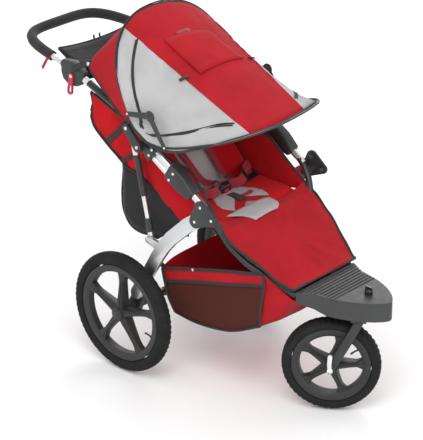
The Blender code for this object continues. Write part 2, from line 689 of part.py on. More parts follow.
def rear_bow_point(angle, grow=0.0):
    """A point on the rear bow's arch, from the right foot (0) to the left foot (pi)."""
    across = math.copysign(abs(math.cos(angle)) ** (2 / BOW_SQUARE), -math.cos(angle))
    rise = (BOW_HEIGHT + grow) * abs(math.sin(angle)) ** (2 / BOW_SQUARE)
    return Vector(((BOW_HALF + grow) * across, BOW_FOOT[0] + BOW_LEAN * rise, BOW_FOOT[1] + rise))


FRONT_BOW_HALF = [(FRONT_BOW_X, *CANOPY_PIVOT), (FRONT_BOW_X, 0.083, 0.812), (FRONT_BOW_X, 0.025, 0.790),
                  (FRONT_BOW_X, -0.032, 0.793), (0.2600, -0.121, 0.818), (0.2500, -0.193, 0.843),
                  (0.2150, -0.230, 0.850), (0.120, -0.246, 0.848), (0.0, -0.252, 0.846)]


def front_bow_path(steps, grow=0.0):
    """The front bow from its right end to its left end."""
    right = [(-x - (grow if x > 0.2 else 0), y, z) for x, y, z in FRONT_BOW_HALF]
    left = [(-x, y, z) for x, y, z in reversed(right[:-1])]
    return smooth(right + left, steps)


def canopy_rear_bow():
    foot = [Vector((-REAR_BOW_X, *CANOPY_PIVOT))]
    arch = [rear_bow_point(math.pi * i / 28) for i in range(29)]
    other = [Vector((REAR_BOW_X, *CANOPY_PIVOT))]
    return tube("canopy_rear_bow", foot + arch + other, 0.0038, "black_tube", 2)


def canopy_front_bow():
    return tube("canopy_front_bow", front_bow_path(3), 0.0038, "black_tube", 2)


def evenly(path, count):
    """Points evenly spread along a path."""
    lengths = [0.0]
    for a, b in zip(path, path[1:]):
        lengths.append(lengths[-1] + (Vector(b) - Vector(a)).length)
    out, i = [], 0
    for k in range(count):
        distance = lengths[-1] * k / (count - 1)
        while i < len(path) - 2 and lengths[i + 1] < distance:
            i += 1
        share = (distance - lengths[i]) / (lengths[i + 1] - lengths[i])
        out.append(Vector(path[i]).lerp(Vector(path[i + 1]), share))
    return out


def canopy_shell():
    """Sheet stretched between the two bows, as one closed thin shell."""
    grow = 0.0075
    arch = [rear_bow_point(math.pi * i / 60, grow) for i in range(61)]
    front = [Vector((p.x, p.y - 0.004, p.z + 0.0085)) for p in front_bow_path(6, grow)]
    trim = len(front) // 12
    front = front[trim:len(front) - trim]
    columns, rows = 25, 9
    rear_row = evenly(arch, columns)
    front_row = evenly(front, columns)
    lines = []
    for r in range(rows):
        t = lerp(0.02, 0.98, r / (rows - 1))
        sag = 0.006 * math.sin(math.pi * t)
        lines.append([a.lerp(b, t) - Vector((0, 0, sag)) for a, b in zip(rear_row, front_row)])
    return sheet("canopy_shell", lines, 0.003, "red_fabric")


def canopy_rear_panel():
    """Sheet from the rear bow back to the handle housings."""
    columns, rows = 17, 5
    arch = [rear_bow_point(lerp(0.12, math.pi - 0.12, i / 40), 0.0075) for i in range(41)]
    rear_row = evenly(arch, columns)
    back = [Vector((-0.2075, 0.300, 0.905)), Vector((-0.2085, 0.330, 0.955)), Vector((-0.19, 0.338, 0.968)),
            Vector((0.19, 0.338, 0.968)), Vector((0.2085, 0.330, 0.955)), Vector((0.2075, 0.300, 0.905))]
    back_row = evenly(back, columns)
    lines = []
    for r in range(rows):
        t = lerp(0.05, 1.0, r / (rows - 1))
        lines.append([a.lerp(b, t) + Vector((0, 0.001, 0)) for a, b in zip(rear_row, back_row)])
    return sheet("canopy_rear_panel", lines, 0.003, "red_fabric")


def brace_rear_arm(word, side):
    """Rear half of the folding canopy brace, with the knee's disc."""
    arm = side_plate(f"brace_rear_arm_{word}", strap([BRACE_REAR, (0.075, 0.877), BRACE_KNEE], 0.0070, 0.0105),
                     0.2662, 0.2700, side, "grey_plastic")
    knee = side_plate("knee", arc(BRACE_KNEE, 0.017, 0, 2 * math.pi, 20)[:-1], 0.2662, 0.2700, side)
    return combine(arm, [knee], "UNION")


def brace_front_arm(word, side):
    arm = side_plate(f"brace_front_arm_{word}", strap([BRACE_KNEE, (0.000, 0.850), BRACE_FRONT], 0.0120, 0.0075),
                     0.2704, 0.2742, side, "grey_plastic")
    knee = side_plate("knee", arc(BRACE_KNEE, 0.0155, 0, 2 * math.pi, 20)[:-1], 0.2704, 0.2742, side)
    return combine(arm, [knee], "UNION")


# ---------------------------------------------------------------- seat, basket and harness
def seat_base():
    return block("seat_base", (-0.187, -0.195, 0.505), (0.187, -0.014, 0.548), "red_fabric", 0.010)


def seat_back():
    """Reclined back with its deep rear cover."""
    outline = [(-0.008, 0.556), (0.286, 0.858), (0.330, 0.800), (0.326, 0.776), (0.276, 0.712), (0.203, 0.664),
               (0.030, 0.519)]
    return extruded("seat_back", outline, -SEAT_HALF, SEAT_HALF, "red_fabric")


def seat_side(word, side):
    outline = [(-0.195, 0.540), (0.000, 0.515), (0.215, 0.672), (0.300, 0.780), (0.314, 0.860), (0.285, 0.862),
               (0.130, 0.800), (0.060, 0.765), (-0.130, 0.655), (-0.195, 0.600)]
    return side_plate(f"seat_side_{word}", outline, 0.1935, 0.1985, side, "red_fabric")


def seat_pivot_bar():
    """Bar across the back of the seat that the backrest hinges on."""
    return disc("seat_pivot_bar", 0.0075, -SEAT_HALF, SEAT_HALF, SEAT_PIVOT, "black_tube", 16)


def rear_pocket():
    outline = [(0.036, 0.512), (0.203, 0.6535), (0.216, 0.640), (0.2245, 0.565), (0.219, 0.494), (0.190, 0.451),
               (0.149, 0.4365), (0.066, 0.4415)]
    return extruded("rear_pocket", outline, -0.188, 0.188, "black_mesh")


def leg_rest():
    """Sling from the seat's front edge down to the footplate."""
    lines = []
    for y, z in LEG_REST:
        half = frame_half_width(y) + 0.002
        lines.append([Vector((lerp(-half, half, i / 6), y, z)) for i in range(7)])
    return sheet("leg_rest", lines, LEG_REST_SKIN, "red_fabric")


def basket():
    """Open-topped basket hung between the rails."""
    top_rear, top_front = (0.225, 0.024, 0.362), (0.172, -0.352, 0.405)
    foot_rear, foot_middle, foot_front = (0.205, -0.012, 0.218), (0.195, -0.185, 0.205), (0.160, -0.325, 0.248)
    ring = [foot_rear, foot_middle, foot_front]
    top_middle = tuple(lerp(a, b, 0.5) for a, b in zip(top_rear, top_front))
    top = [top_rear, top_middle, top_front]
    points = []
    for side in (-1, 1):
        points += [(side * x, y, z) for x, y, z in top] + [(side * x, y, z) for x, y, z in ring]
    faces = [(0, 1, 4, 3), (1, 2, 5, 4), (7, 6, 9, 10), (8, 7, 10, 11), (3, 4, 10, 9), (4, 5, 11, 10),
             (0, 3, 9, 6), (2, 8, 11, 5)]
    mesh = bpy.data.meshes.new("basket")
    mesh.from_pydata(points, [], faces)
    obj = bpy.data.objects.new("basket", mesh)
    PARTS.objects.link(obj)
    skin = obj.modifiers.new("thickness", "SOLIDIFY")
    skin.thickness = 0.004
    skin.offset = 0
    skin.use_even_offset = False
    bpy.context.view_layer.update()
    return finish(mesh_from_curve(obj), "red_fabric")


def harness_buckle():
    """Buckle body standing on the seat, with a well for its release button."""
    buckle = block("harness_buckle", (-0.026, -0.047, 0.5484), (0.026, -0.025, 0.590), "dark_plastic", 0.004)
    well = turned("well", [(0, 0.008), (0.0100, 0.008), (0.0100, -0.008), (0, -0.008)],
                  Matrix.Translation((0, -0.047, 0.571)) @ Matrix.Rotation(math.pi / 2, 4, "X"), 20)
    return combine(buckle, [well], "DIFFERENCE")


def buckle_button():
    place = Matrix.Translation((0, -0.047, 0.571)) @ Matrix.Rotation(math.pi / 2, 4, "X")
    return turned("buckle_button", [(0, 0.0035), (0.0085, 0.0035), (0.0094, 0.0020), (0.0094, -0.0030),
                                    (0, -0.0030)], place, 20, "red_plastic")


# ---------------------------------------------------------------- assembly
def hang(axis_name, at, pieces):
    """Put pieces under an empty on their joint's axis, without moving them."""
    axis = bpy.data.objects.new(axis_name, None)
    axis.location = at
    PARTS.objects.link(axis)
    bpy.context.view_layer.update()
    for piece in pieces:
        place = piece.matrix_world.copy()
        piece.parent = axis
        piece.matrix_world = place


def hang_moving_pieces():
    """Every moving piece without its own origin on its joint's axis gets one as a parent."""
    piece = bpy.data.objects
    both = lambda *names: [piece[f"{name}_{word}"] for name in names for word in SIDES]
    hang("fold_axis", (0, *FOLD_PIVOT), both("handle_housing", "side_tube", "knuckle_link")
         + [piece[n] for n in ("handlebar", "handle_grip", "handle_console", "canopy_rear_bow", "canopy_rear_panel")])
    hang("rear_frame_axis", (0, *BEAM_PIVOT), both("rear_beam", "brake_carrier") + [piece["rear_axle_tube"]])
    hang("canopy_axis", (0, *CANOPY_PIVOT), [piece["canopy_front_bow"], piece["canopy_shell"]])
    hang("brake_lever_axis", (0, *LEVER_PIVOT), [piece["parking_brake_lever"]])
    hang("seat_axis", (0, *SEAT_PIVOT), [piece[n] for n in ("seat_pivot_bar", "seat_back", "rear_pocket")])
    hang("swivel_lock_axis", (0, KNOB_Y, 0), [piece["swivel_knob"]])
    cam = piece["swivel_axis"].matrix_world @ Vector((-CAM_X, TRAIL, FRONT_TYRE_R))
    hang("quick_release_axis", cam, [piece["quick_release_lever"]])
    for word in SIDES:
        hang(f"brace_axis_{word}", (0, *BRACE_REAR), [piece[f"brace_rear_arm_{word}"]])
        hang(f"brace_knee_axis_{word}", (0, *BRACE_KNEE), [piece[f"brace_front_arm_{word}"]])


def build():
    for word, side in SIDES.items():
        for piece in (front_rail, frame_housing, twin_tubes, knuckle_fitting, hub_plate, rear_beam,
                      brake_carrier, strut_rod, strut_sleeve, handle_housing, side_tube, knuckle_link,
                      brace_rear_arm, brace_front_arm, seat_side):
            piece(word, side)
        hub = sorted((side * (0.2636 - REAR_TRACK), side * (0.3140 - REAR_TRACK)))
        place = Matrix.Translation((side * REAR_TRACK, *REAR_AXLE))
        wheel_rim(f"rear_rim_{word}", REAR_RIM_R, REAR_WINDOW_R, 0.0125, hub, 0.006, place)
        tyre(f"rear_tyre_{word}", REAR_TYRE_R, REAR_TYRE_HALF, REAR_RIM_R + 0.0008, place)
    holder = swivel_parent()
    place = Matrix.Translation((0, TRAIL, FRONT_TYRE_R))
    front = [fork(), front_axle(), quick_release_lever(),
             wheel_rim("front_rim", FRONT_RIM_R, FRONT_WINDOW_R, 0.0120, (-0.0365, 0.0365), 0.005, place),
             tyre("front_tyre", FRONT_TYRE_R, FRONT_TYRE_HALF, FRONT_RIM_R + 0.0008, place)]
    for piece in front:
        piece.parent = holder
    for piece in (seat_cross_tube, footplate, steering_head, swivel_knob, rear_axle_tube, handlebar, handle_grip,
                  handle_console, parking_brake_lever, canopy_rear_bow, canopy_front_bow, canopy_shell, canopy_rear_panel,
                  seat_base, seat_back, seat_pivot_bar, rear_pocket, leg_rest, basket, harness_buckle,
                  buckle_button):
        piece()
    hang_moving_pieces()
    bpy.context.view_layer.update()


build()
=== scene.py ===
import json
import math
import random

import bmesh
import bpy
from mathutils import Matrix, Vector, noise


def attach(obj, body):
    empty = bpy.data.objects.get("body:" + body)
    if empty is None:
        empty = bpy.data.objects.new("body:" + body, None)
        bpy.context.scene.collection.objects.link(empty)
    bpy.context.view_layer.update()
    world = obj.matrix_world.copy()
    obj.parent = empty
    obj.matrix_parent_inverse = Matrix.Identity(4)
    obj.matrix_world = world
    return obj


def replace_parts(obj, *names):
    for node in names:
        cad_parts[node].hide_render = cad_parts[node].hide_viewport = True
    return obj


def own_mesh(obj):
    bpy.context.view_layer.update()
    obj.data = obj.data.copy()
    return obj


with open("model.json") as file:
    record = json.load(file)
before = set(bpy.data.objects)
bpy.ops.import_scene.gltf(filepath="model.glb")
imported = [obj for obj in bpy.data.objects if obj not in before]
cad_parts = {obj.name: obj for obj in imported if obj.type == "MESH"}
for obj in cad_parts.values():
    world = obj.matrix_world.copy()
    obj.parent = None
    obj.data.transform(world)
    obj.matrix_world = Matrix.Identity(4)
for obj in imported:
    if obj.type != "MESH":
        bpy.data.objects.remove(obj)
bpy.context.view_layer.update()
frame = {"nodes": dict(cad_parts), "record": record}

random.seed(7)
SCENE = bpy.context.scene
SIDES = {"right": -1, "left": 1}

# ---------------------------------------------------------------- camera, light and floor
CAMERA_AT, CAMERA_AIM, CAMERA_LENS = Vector((-4.6074, -4.0947, 3.2874)), Vector((-0.0915, -0.0655, 0.5088)), 176.19


def stage():
    data = bpy.data.cameras.new("camera")
    data.lens, data.sensor_width = CAMERA_LENS, 36.0
    camera = bpy.data.objects.new("camera", data)
    camera.location = CAMERA_AT
    camera.rotation_euler = (CAMERA_AIM - CAMERA_AT).to_track_quat("-Z", "Y").to_euler()
    SCENE.collection.objects.link(camera)
    SCENE.camera = camera
    world = bpy.data.worlds.new("studio")
    world.use_nodes = True
    world.node_tree.nodes["Background"].inputs[0].default_value = (1.0, 1.0, 1.0, 1.0)
    world.node_tree.nodes["Background"].inputs[1].default_value = 0.95
    SCENE.world = world
    SCENE.view_settings.view_transform = "Standard"
    lights = [("key", (-2.2, -1.6, 3.6), (0, 0, 0.5), 2.4, 62), ("fill", (-1.5, -4.2, 2.0), (0, 0, 0.5), 2.8, 30),
              ("back", (2.8, 1.8, 2.6), (0, 0, 0.6), 2.2, 40)]
    for name, at, aim, size, power in lights:
        lamp = bpy.data.lights.new(name, "AREA")
        lamp.shape, lamp.size, lamp.energy = "DISK", size, power
        obj = bpy.data.objects.new(name, lamp)
        obj.location = at
        obj.rotation_euler = (Vector(aim) - Vector(at)).to_track_quat("-Z", "Y").to_euler()
        SCENE.collection.objects.link(obj)
    mesh = bpy.data.meshes.new("floor")
    mesh.from_pydata([(-30, -30, -0.0005), (30, -30, -0.0005), (30, 30, -0.0005), (-30, 30, -0.0005)], [], [(0, 1, 2, 3)])
    floor = bpy.data.objects.new("floor", mesh)
    SCENE.collection.objects.link(floor)
    material = bpy.data.materials.new("floor_paper")
    material.use_nodes = True
    shader = material.node_tree.nodes["Principled BSDF"]
    shader.inputs["Base Color"].default_value = (0.90, 0.90, 0.90, 1)
    shader.inputs["Roughness"].default_value = 0.9
    shader.inputs["Specular IOR Level"].default_value = 0.1
    mesh.materials.append(material)


# ---------------------------------------------------------------- materials
class Nodes:
    """A small helper to wire up one material."""

    def __init__(self, name, rough, metallic=0.0, specular=0.5, sheen=0.0):
        self.material = bpy.data.materials.new(name)
        self.material.use_nodes = True
        self.tree = self.material.node_tree
        self.shader = self.tree.nodes["Principled BSDF"]
        self.shader.inputs["Roughness"].default_value = rough
        self.shader.inputs["Metallic"].default_value = metallic
        self.shader.inputs["Specular IOR Level"].default_value = specular
        if sheen:
            self.shader.inputs["Sheen Weight"].default_value = sheen
            self.shader.inputs["Sheen Roughness"].default_value = 0.5
        self.place = self.add("ShaderNodeTexCoord").outputs["Object"]

    def add(self, kind, **values):
        node = self.tree.nodes.new(kind)
        for key, value in values.items():
            setattr(node, key, value)
        return node

    def link(self, output, target):
        self.tree.links.new(output, target)

    def noise(self, scale, detail=3.0, stretch=None, roughness=0.5):
        node = self.add("ShaderNodeTexNoise")
        node.inputs["Scale"].default_value = scale
        node.inputs["Detail"].default_value = detail
        node.inputs["Roughness"].default_value = roughness
        self.link(self.stretched(stretch), node.inputs["Vector"])
        return node.outputs["Fac"]

    def stretched(self, stretch, turn=(0, 0, 0)):
        if not stretch and not any(turn):
            return self.place
        node = self.add("ShaderNodeMapping")
        node.inputs["Scale"].default_value = stretch or (1, 1, 1)
        node.inputs["Rotation"].default_value = turn
        self.link(self.place, node.inputs["Vector"])
        return node.outputs["Vector"]

    def wave(self, scale, direction, turn=(0, 0, 0), distortion=0.0):
        node = self.add("ShaderNodeTexWave", bands_direction=direction)
        node.inputs["Scale"].default_value = scale
        node.inputs["Distortion"].default_value = distortion
        self.link(self.stretched(None, turn), node.inputs["Vector"])
        return node.outputs["Fac"]

    def math(self, operation, first, second):
        node = self.add("ShaderNodeMath", operation=operation)
        for slot, value in zip(node.inputs, (first, second)):
            if isinstance(value, (int, float)):
                slot.default_value = value
            else:
                self.link(value, slot)
        return node.outputs[0]

    def ramp(self, factor, stops):
        node = self.add("ShaderNodeValToRGB")
        while len(node.color_ramp.elements) < len(stops):
            node.color_ramp.elements.new(0.5)
        for element, (position, colour) in zip(node.color_ramp.elements, stops):
            element.position = position
            element.color = (*colour, 1.0)
        self.link(factor, node.inputs["Fac"])
        return node.outputs["Color"]

    def colour(self, factor, stops):
        self.link(self.ramp(factor, stops), self.shader.inputs["Base Color"])
        return self

    def rough(self, factor, low, high):
        node = self.add("ShaderNodeMapRange")
        node.inputs["To Min"].default_value, node.inputs["To Max"].default_value = low, high
        self.link(factor, node.inputs["Value"])
        self.link(node.outputs["Result"], self.shader.inputs["Roughness"])
        return self

    def bump(self, *layers):
        """Each layer is a height and its depth in metres."""
        before = None
        for height, depth in layers:
            node = self.add("ShaderNodeBump")
            node.inputs["Strength"].default_value = 1.0
            node.inputs["Distance"].default_value = depth
            self.link(height, node.inputs["Height"])
            if before:
                self.link(before, node.inputs["Normal"])
            before = node.outputs["Normal"]
        self.link(before, self.shader.inputs["Normal"])
        return self


def shades(colour, *factors):
    return [tuple(min(1.0, c * f) for c in colour) for f in factors]


def fabric(name, colour, weave=620.0, wrinkle=0.0016, sheen=0.05, rough=0.82, weave_depth=0.00012):
    """Woven cloth: crossed threads, cloudy shade changes and soft creases."""
    n = Nodes(name, rough, specular=0.10, sheen=sheen)
    dark, middle, light = shades(colour, 0.86, 1.0, 1.10)
    thread = n.math("MULTIPLY", n.wave(weave, "X", (0.3, 0.5, 0.78)), n.wave(weave, "Z", (0.3, 0.5, 0.78)))
    cloud = n.noise(9.0, 4.0)
    n.colour(n.math("ADD", n.math("MULTIPLY", cloud, 0.82), n.math("MULTIPLY", thread, 0.18)),
             [(0.30, dark), (0.50, middle), (0.72, light)])
    n.rough(n.noise(40.0), rough - 0.07, rough + 0.07)
    return n.bump((n.noise(5.5, 3.0, (1.0, 1.6, 0.7), 0.55), wrinkle * 4), (n.noise(24.0, 3.0), wrinkle), (thread,
            weave_depth)).material


def webbing(name, colour):
    n = Nodes(name, 0.75, specular=0.3, sheen=0.15)
    dark, light = shades(colour, 0.75, 1.1)
    rib = n.math("MULTIPLY", n.wave(900.0, "X", (0.2, 0.4, 0.9)), n.wave(450.0, "Z", (0.2, 0.4, 0.9)))
    n.colour(rib, [(0.1, dark), (0.9, light)])
    return n.bump((rib, 0.0004), (n.noise(30.0), 0.0008)).material


def moulded(name, colour, rough=0.48, grain=0.00010, specular=0.5):
    """Moulded plastic: a fine spark-eroded grain and slightly worn, uneven gloss."""
    n = Nodes(name, rough, specular=specular)
    dark, light = shades(colour, 0.88, 1.14)
    n.colour(n.noise(14.0, 5.0), [(0.3, dark), (0.7, light)])
    n.rough(n.noise(55.0, 4.0), rough - 0.08, rough + 0.10)
    return n.bump((n.noise(1500.0, 2.0), grain), (n.noise(6.0), 0.0003)).material


def metal(name, colour, rough=0.26, stretch=(60.0, 1.5, 1.5)):
    """Satin metal with faint drawing lines and handling marks."""
    n = Nodes(name, rough, metallic=1.0)
    dark, light = shades(colour, 0.90, 1.05)
    lines = n.noise(18.0, 4.0, stretch)
    n.colour(n.noise(7.0, 4.0), [(0.3, dark), (0.7, light)])
    n.rough(lines, rough - 0.06, rough + 0.12)
    return n.bump((lines, 0.00003), (n.noise(300.0), 0.00002)).material


def painted(name, colour, rough=0.35):
    n = Nodes(name, rough, specular=0.5)
    dark, light = shades(colour, 0.9, 1.12)
    n.colour(n.noise(18.0, 4.0), [(0.3, dark), (0.7, light)])
    n.rough(n.noise(90.0), rough - 0.08, rough + 0.10)
    return n.bump((n.noise(800.0, 2.0), 0.00006)).material


def foam(name, colour):
    n = Nodes(name, 0.9, specular=0.25, sheen=0.1)
    dark, light = shades(colour, 0.8, 1.25)
    cells = n.add("ShaderNodeTexVoronoi")
    cells.inputs["Scale"].default_value = 700.0
    n.link(n.place, cells.inputs["Vector"])
    n.colour(n.noise(25.0, 6.0), [(0.3, dark), (0.7, light)])
    return n.bump((cells.outputs["Distance"], 0.0004), (n.noise(16.0), 0.0006)).material


def rubber(name, colour):
    n = Nodes(name, 0.82, specular=0.18)
    dark, light = shades(colour, 0.78, 1.25)
    n.colour(n.noise(22.0, 6.0), [(0.3, dark), (0.72, light)])
    n.rough(n.noise(60.0), 0.66, 0.88)
    return n.bump((n.noise(500.0, 3.0), 0.00012), (n.noise(12.0), 0.0004)).material


def net(name, colour, hole, scale=420.0, share=0.45, see_through=True):
    """Knitted net: dark cords round small holes, which show the light or what lies behind."""
    n = Nodes(name, 0.8, specular=0.2)
    cells = n.math("MULTIPLY", n.wave(scale, "DIAGONAL", (0.0, 0.0, 0.4)), n.wave(scale, "DIAGONAL", (1.3, 0.9, 0.2)))
    n.colour(cells, [(share - 0.12, colour), (share + 0.12, hole)])
    if see_through:
        n.link(n.math("SUBTRACT", 1.0, n.math("MULTIPLY", n.math("GREATER_THAN", cells, share), 0.55)), n.shader.inputs["Alpha"])
    return n.bump((cells, -0.0004), (n.noise(20.0), 0.001)).material


RED = (0.385, 0.0095, 0.0165)
M = {
    "red": fabric("red_cloth", RED),
    "red_seat": fabric("red_seat_cloth", (0.50, 0.006, 0.011), wrinkle=0.0022),
    "grey": fabric("grey_cloth", (0.430, 0.427, 0.430), wrinkle=0.0020),
    # seat liner: the cloth's own grey, made a little darker and pinker as painted shade and painted red reflection from
    # the tub's cloth
    "grey_pad": fabric("shaded_pink_pad_cloth", (0.40, 0.385, 0.385), weave=420.0),
    "black": fabric("black_cloth", (0.018, 0.018, 0.020), sheen=0.15),
    "piping": webbing("black_piping", (0.026, 0.027, 0.027)),
    "red_web": webbing("red_webbing", (0.42, 0.010, 0.030)),
    "black_web": webbing("black_webbing", (0.020, 0.020, 0.021)),
    "silver": metal("satin_aluminium", (0.80, 0.81, 0.82)),
    "beam": metal("brushed_beam", (0.66, 0.67, 0.68), 0.36),
    "steel": metal("plated_steel", (0.78, 0.77, 0.76), 0.18),
    "frame": painted("black_powder_coat", (0.017, 0.017, 0.019)),
    "plastic": moulded("dark_moulding", (0.024, 0.0255, 0.027)),
    "grey_plastic": moulded("grey_moulding", (0.034, 0.035, 0.0365), 0.5),
    "gloss": moulded("gloss_black", (0.016, 0.016, 0.017), 0.25, 0.00003),
    "red_plastic": moulded("red_moulding", (0.45, 0.012, 0.060), 0.28, 0.00003),
    "foam": foam("grip_foam", (0.022, 0.022, 0.023)),
    "rubber": rubber("tyre_rubber", (0.014, 0.014, 0.0145)),
    "rim": moulded("rim_moulding", (0.018, 0.0185, 0.019), 0.5),
    "net": net("red_net", (0.050, 0.014, 0.010), (0.19, 0.020, 0.012), see_through=False),
    "pocket_net": net("black_net", (0.012, 0.012, 0.013), (0.55, 0.54, 0.52), 300.0, 0.40, see_through=False),
}


# ---------------------------------------------------------------- building pieces
def add(name, mesh, material, body, smooth=True):
    obj = bpy.data.objects.new(name, mesh)
    SCENE.collection.objects.link(obj)
    for m in material if isinstance(material, (list, tuple)) else [material]:
        mesh.materials.append(M[m])
    if smooth:
        mesh.shade_smooth()
        mesh.set_sharp_from_angle(angle=math.radians(42))
    if body:
        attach(obj, body)
    return obj


def mesh_of(bm, name):
    mesh = bpy.data.meshes.new(name)
    bmesh.ops.recalc_face_normals(bm, faces=bm.faces)
    bm.to_mesh(mesh)
    bm.free()
    return mesh


def spline(points, steps):
    """Points on a smooth curve through the given ones."""
    pts = [Vector(p) for p in points]
    ends = [2 * pts[0] - pts[1]] + pts + [2 * pts[-1] - pts[-2]]
    out = []
    for a, b, c, d in zip(ends, ends[1:], ends[2:], ends[3:]):
        for i in range(steps):
            t = i / steps
            out.append(0.5 * (2 * b + (c - a) * t + (2 * a - 5 * b + 4 * c - d) * t * t + (3 * b - a - 3 * c + d) * t ** 3))
    return out + [pts[-1]]


def evenly(path, count):
    """Points evenly spread along a path."""
    path = [Vector(p) for p in path]
    lengths = [0.0]
    for a, b in zip(path, path[1:]):
        lengths.append(lengths[-1] + (b - a).length)
    out, i = [], 0
    for k in range(count):
        distance = lengths[-1] * k / (count - 1)
        while i < len(path) - 2 and lengths[i + 1] < distance:
            i += 1
        share = (distance - lengths[i]) / max(1e-9, lengths[i + 1] - lengths[i])
        out.append(path[i].lerp(path[i + 1], share))
    return out


def frames(path):
    """A steady pair of cross directions at each point of a path."""
    count = len(path)
    tangents = [(path[min(i + 1, count - 1)] - path[max(i - 1, 0)]).normalized() for i in range(count)]
    side = tangents[0].orthogonal().normalized()
    out = []
    for tangent in tangents:
        side = (side - tangent * side.dot(tangent)).normalized()
        out.append((side, tangent.cross(side)))
    return out


def rod_mesh(bm, path, radius, sides=10):
    """A round rod along a path; radius may be a list."""
    path = [Vector(p) for p in path]
    rings = []
    for i, (point, (a, b)) in enumerate(zip(path, frames(path))):
        r = radius[i] if isinstance(radius, (list, tuple)) else radius
        rings.append([bm.verts.new(point + (a * math.cos(t) + b * math.sin(t)) * r)
                      for t in [2 * math.pi * k / sides for k in range(sides)]])
    for first, second in zip(rings, rings[1:]):
        for k in range(sides):
            bm.faces.new((first[k], first[(k + 1) % sides], second[(k + 1) % sides], second[k]))
    bm.faces.new(rings[0][::-1])
    bm.faces.new(rings[-1])


def rod(name, path, radius, material, body, sides=10):
    bm = bmesh.new()
    rod_mesh(bm, path, radius, sides)
    return add(name, mesh_of(bm, name), material, body)


def strap_mesh(bm, path, width, thick, normals):
    """A flat band along a path; normals gives its outer side at each point, or one for all."""
    path = [Vector(p) for p in path]
    rings = []
    for i, point in enumerate(path):
        tangent = (path[min(i + 1, len(path) - 1)] - path[max(i - 1, 0)]).normalized()
        normal = Vector(normals[i] if isinstance(normals, list) else normals)
        normal = (normal - tangent * normal.dot(tangent)).normalized()
        across = tangent.cross(normal) * (width / 2)
        lift = normal * (thick / 2)
        rings.append([bm.verts.new(point + p) for p in
                      (across * 0.96 + lift, across, across * 0.96 - lift, -across * 0.96 - lift, -across, -across * 0.96 + lift)])
    for first, second in zip(rings, rings[1:]):
        for k in range(6):
            bm.faces.new((first[k], first[(k + 1) % 6], second[(k + 1) % 6], second[k]))
    bm.faces.new(rings[0][::-1])
    bm.faces.new(rings[-1])


def strap(name, path, width, material, body, normals, thick=0.0018):
    bm = bmesh.new()
    strap_mesh(bm, path, width, thick, normals)
    return add(name, mesh_of(bm, name), material, body)


def cloth(name, rows, material, body, thick=0.0016, pick=None, subdivide=0, ripple=None,
        flat=None):
    """A cloth panel over rows of points; pick gives each face's material, ripple moves each point."""
    width = len(rows[0])
    mesh = bpy.data.meshes.new(name)
    points = [Vector(p) for row in rows for p in row]
    faces = [(r * width + c, r * width + c + 1, (r + 1) * width + c + 1, (r + 1) * width + c)
             for r in range(len(rows) - 1) for c in range(width - 1)]
    mesh.from_pydata(points, [], faces)
    if pick:
        for polygon in mesh.polygons:
            polygon.material_index = pick(polygon.index // (width - 1), polygon.index % (width - 1))
    obj = add(name, mesh, material, None)
    if subdivide:
        bm = bmesh.new()
        bm.from_mesh(mesh)
        bmesh.ops.subdivide_edges(bm, edges=bm.edges, cuts=subdivide, use_grid_fill=True, smooth=0.4)
        bm.to_mesh(mesh)
        bm.free()
    if ripple:
        normals = [v.normal.copy() for v in mesh.vertices]
        for vertex, normal in zip(mesh.vertices, normals):
            vertex.co += normal * ripple(vertex.co)
    wide = max(sum((Vector(a) - Vector(b)).length for a, b in zip(row, row[1:])) for row in rows)
    tall = max(sum((Vector(rows[r][c]) - Vector(rows[r + 1][c])).length for r in range(len(rows) - 1)) for c in range(width))
    wide, tall = flat or (wide, tall)
    skin = obj.modifiers.new("thickness", "SOLIDIFY")
    skin.thickness, skin.offset = thick, 0
    mesh.shade_smooth()
    if body:
        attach(obj, body)
    return obj


def soften(node, material, bevel=0.0022, segments=2):
    """The CAD node's own shape with rounded, finished edges."""
    source = frame["nodes"][node]
    mesh = source.data.copy()
    bm = bmesh.new()
    bm.from_mesh(mesh)
    bmesh.ops.remove_doubles(bm, verts=bm.verts, dist=1e-5)
    bmesh.ops.dissolve_limit(bm, angle_limit=math.radians(2), verts=bm.verts, edges=bm.edges)
    bm.to_mesh(mesh)
    bm.free()
    mesh.materials.clear()
    obj = bpy.data.objects.new(node + "_finished", mesh)
    SCENE.collection.objects.link(obj)
    mesh.materials.append(M[material])
    mesh.shade_smooth()
    edge = obj.modifiers.new("edges", "BEVEL")
    edge.width, edge.segments, edge.limit_method, edge.angle_limit = bevel, segments, "ANGLE", math.radians(35)
    edge.harden_normals = True
    edge.use_clamp_overlap = True
    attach(obj, body_of[node])
    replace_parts(obj, node)
    return obj


def noise_at(point, scale, seed=0.0):
    return noise.noise(Vector(point) * scale + Vector((seed, seed * 0.7, -seed)))


def dome(bm, at, normal, radius, height, segments=14):
    """A low rivet head."""
    turn = Vector(normal).to_track_quat("Z", "Y").to_matrix()
    rings = []
    for share, lift in ((1.0, 0.0), (1.0, 0.35), (0.86, 0.72), (0.5, 0.95)):
        rings.append([bm.verts.new(Vector(at) + turn @ Vector((radius * share * math.cos(t), radius * share * math.sin(t),
                height * lift)))
                      for t in [2 * math.pi * k / segments for k in range(segments)]])
    for first, second in zip(rings, rings[1:]):
        for k in range(segments):
            bm.faces.new((first[k], first[(k + 1) % segments], second[(k + 1) % segments], second[k]))
    bm.faces.new(rings[-1])
    bm.faces.new(rings[0][::-1])


def rivets(name, spots, body, radius=0.0048, height=0.0026, material="steel"):
    bm = bmesh.new()
    for at, normal in spots:
        dome(bm, at, normal, radius, height)
    return add(name, mesh_of(bm, name), material, body)


body_of = {n: b for b, nodes in frame["record"]["behaviour"]["bodies"].items() for n in nodes}
slot_of = {s["node"]: s["material_slot"] for s in frame["record"]["subparts"]}
NODE_MATERIAL = {"silver_tube": "silver", "black_tube": "frame", "dark_plastic": "plastic", "grey_plastic": "grey_plastic",
                 "foam": "foam", "tyre": "rubber", "steel": "steel", "red_plastic": "red_plastic", "red_fabric": "red",
                 "grey_fabric": "grey", "black_mesh": "black"}


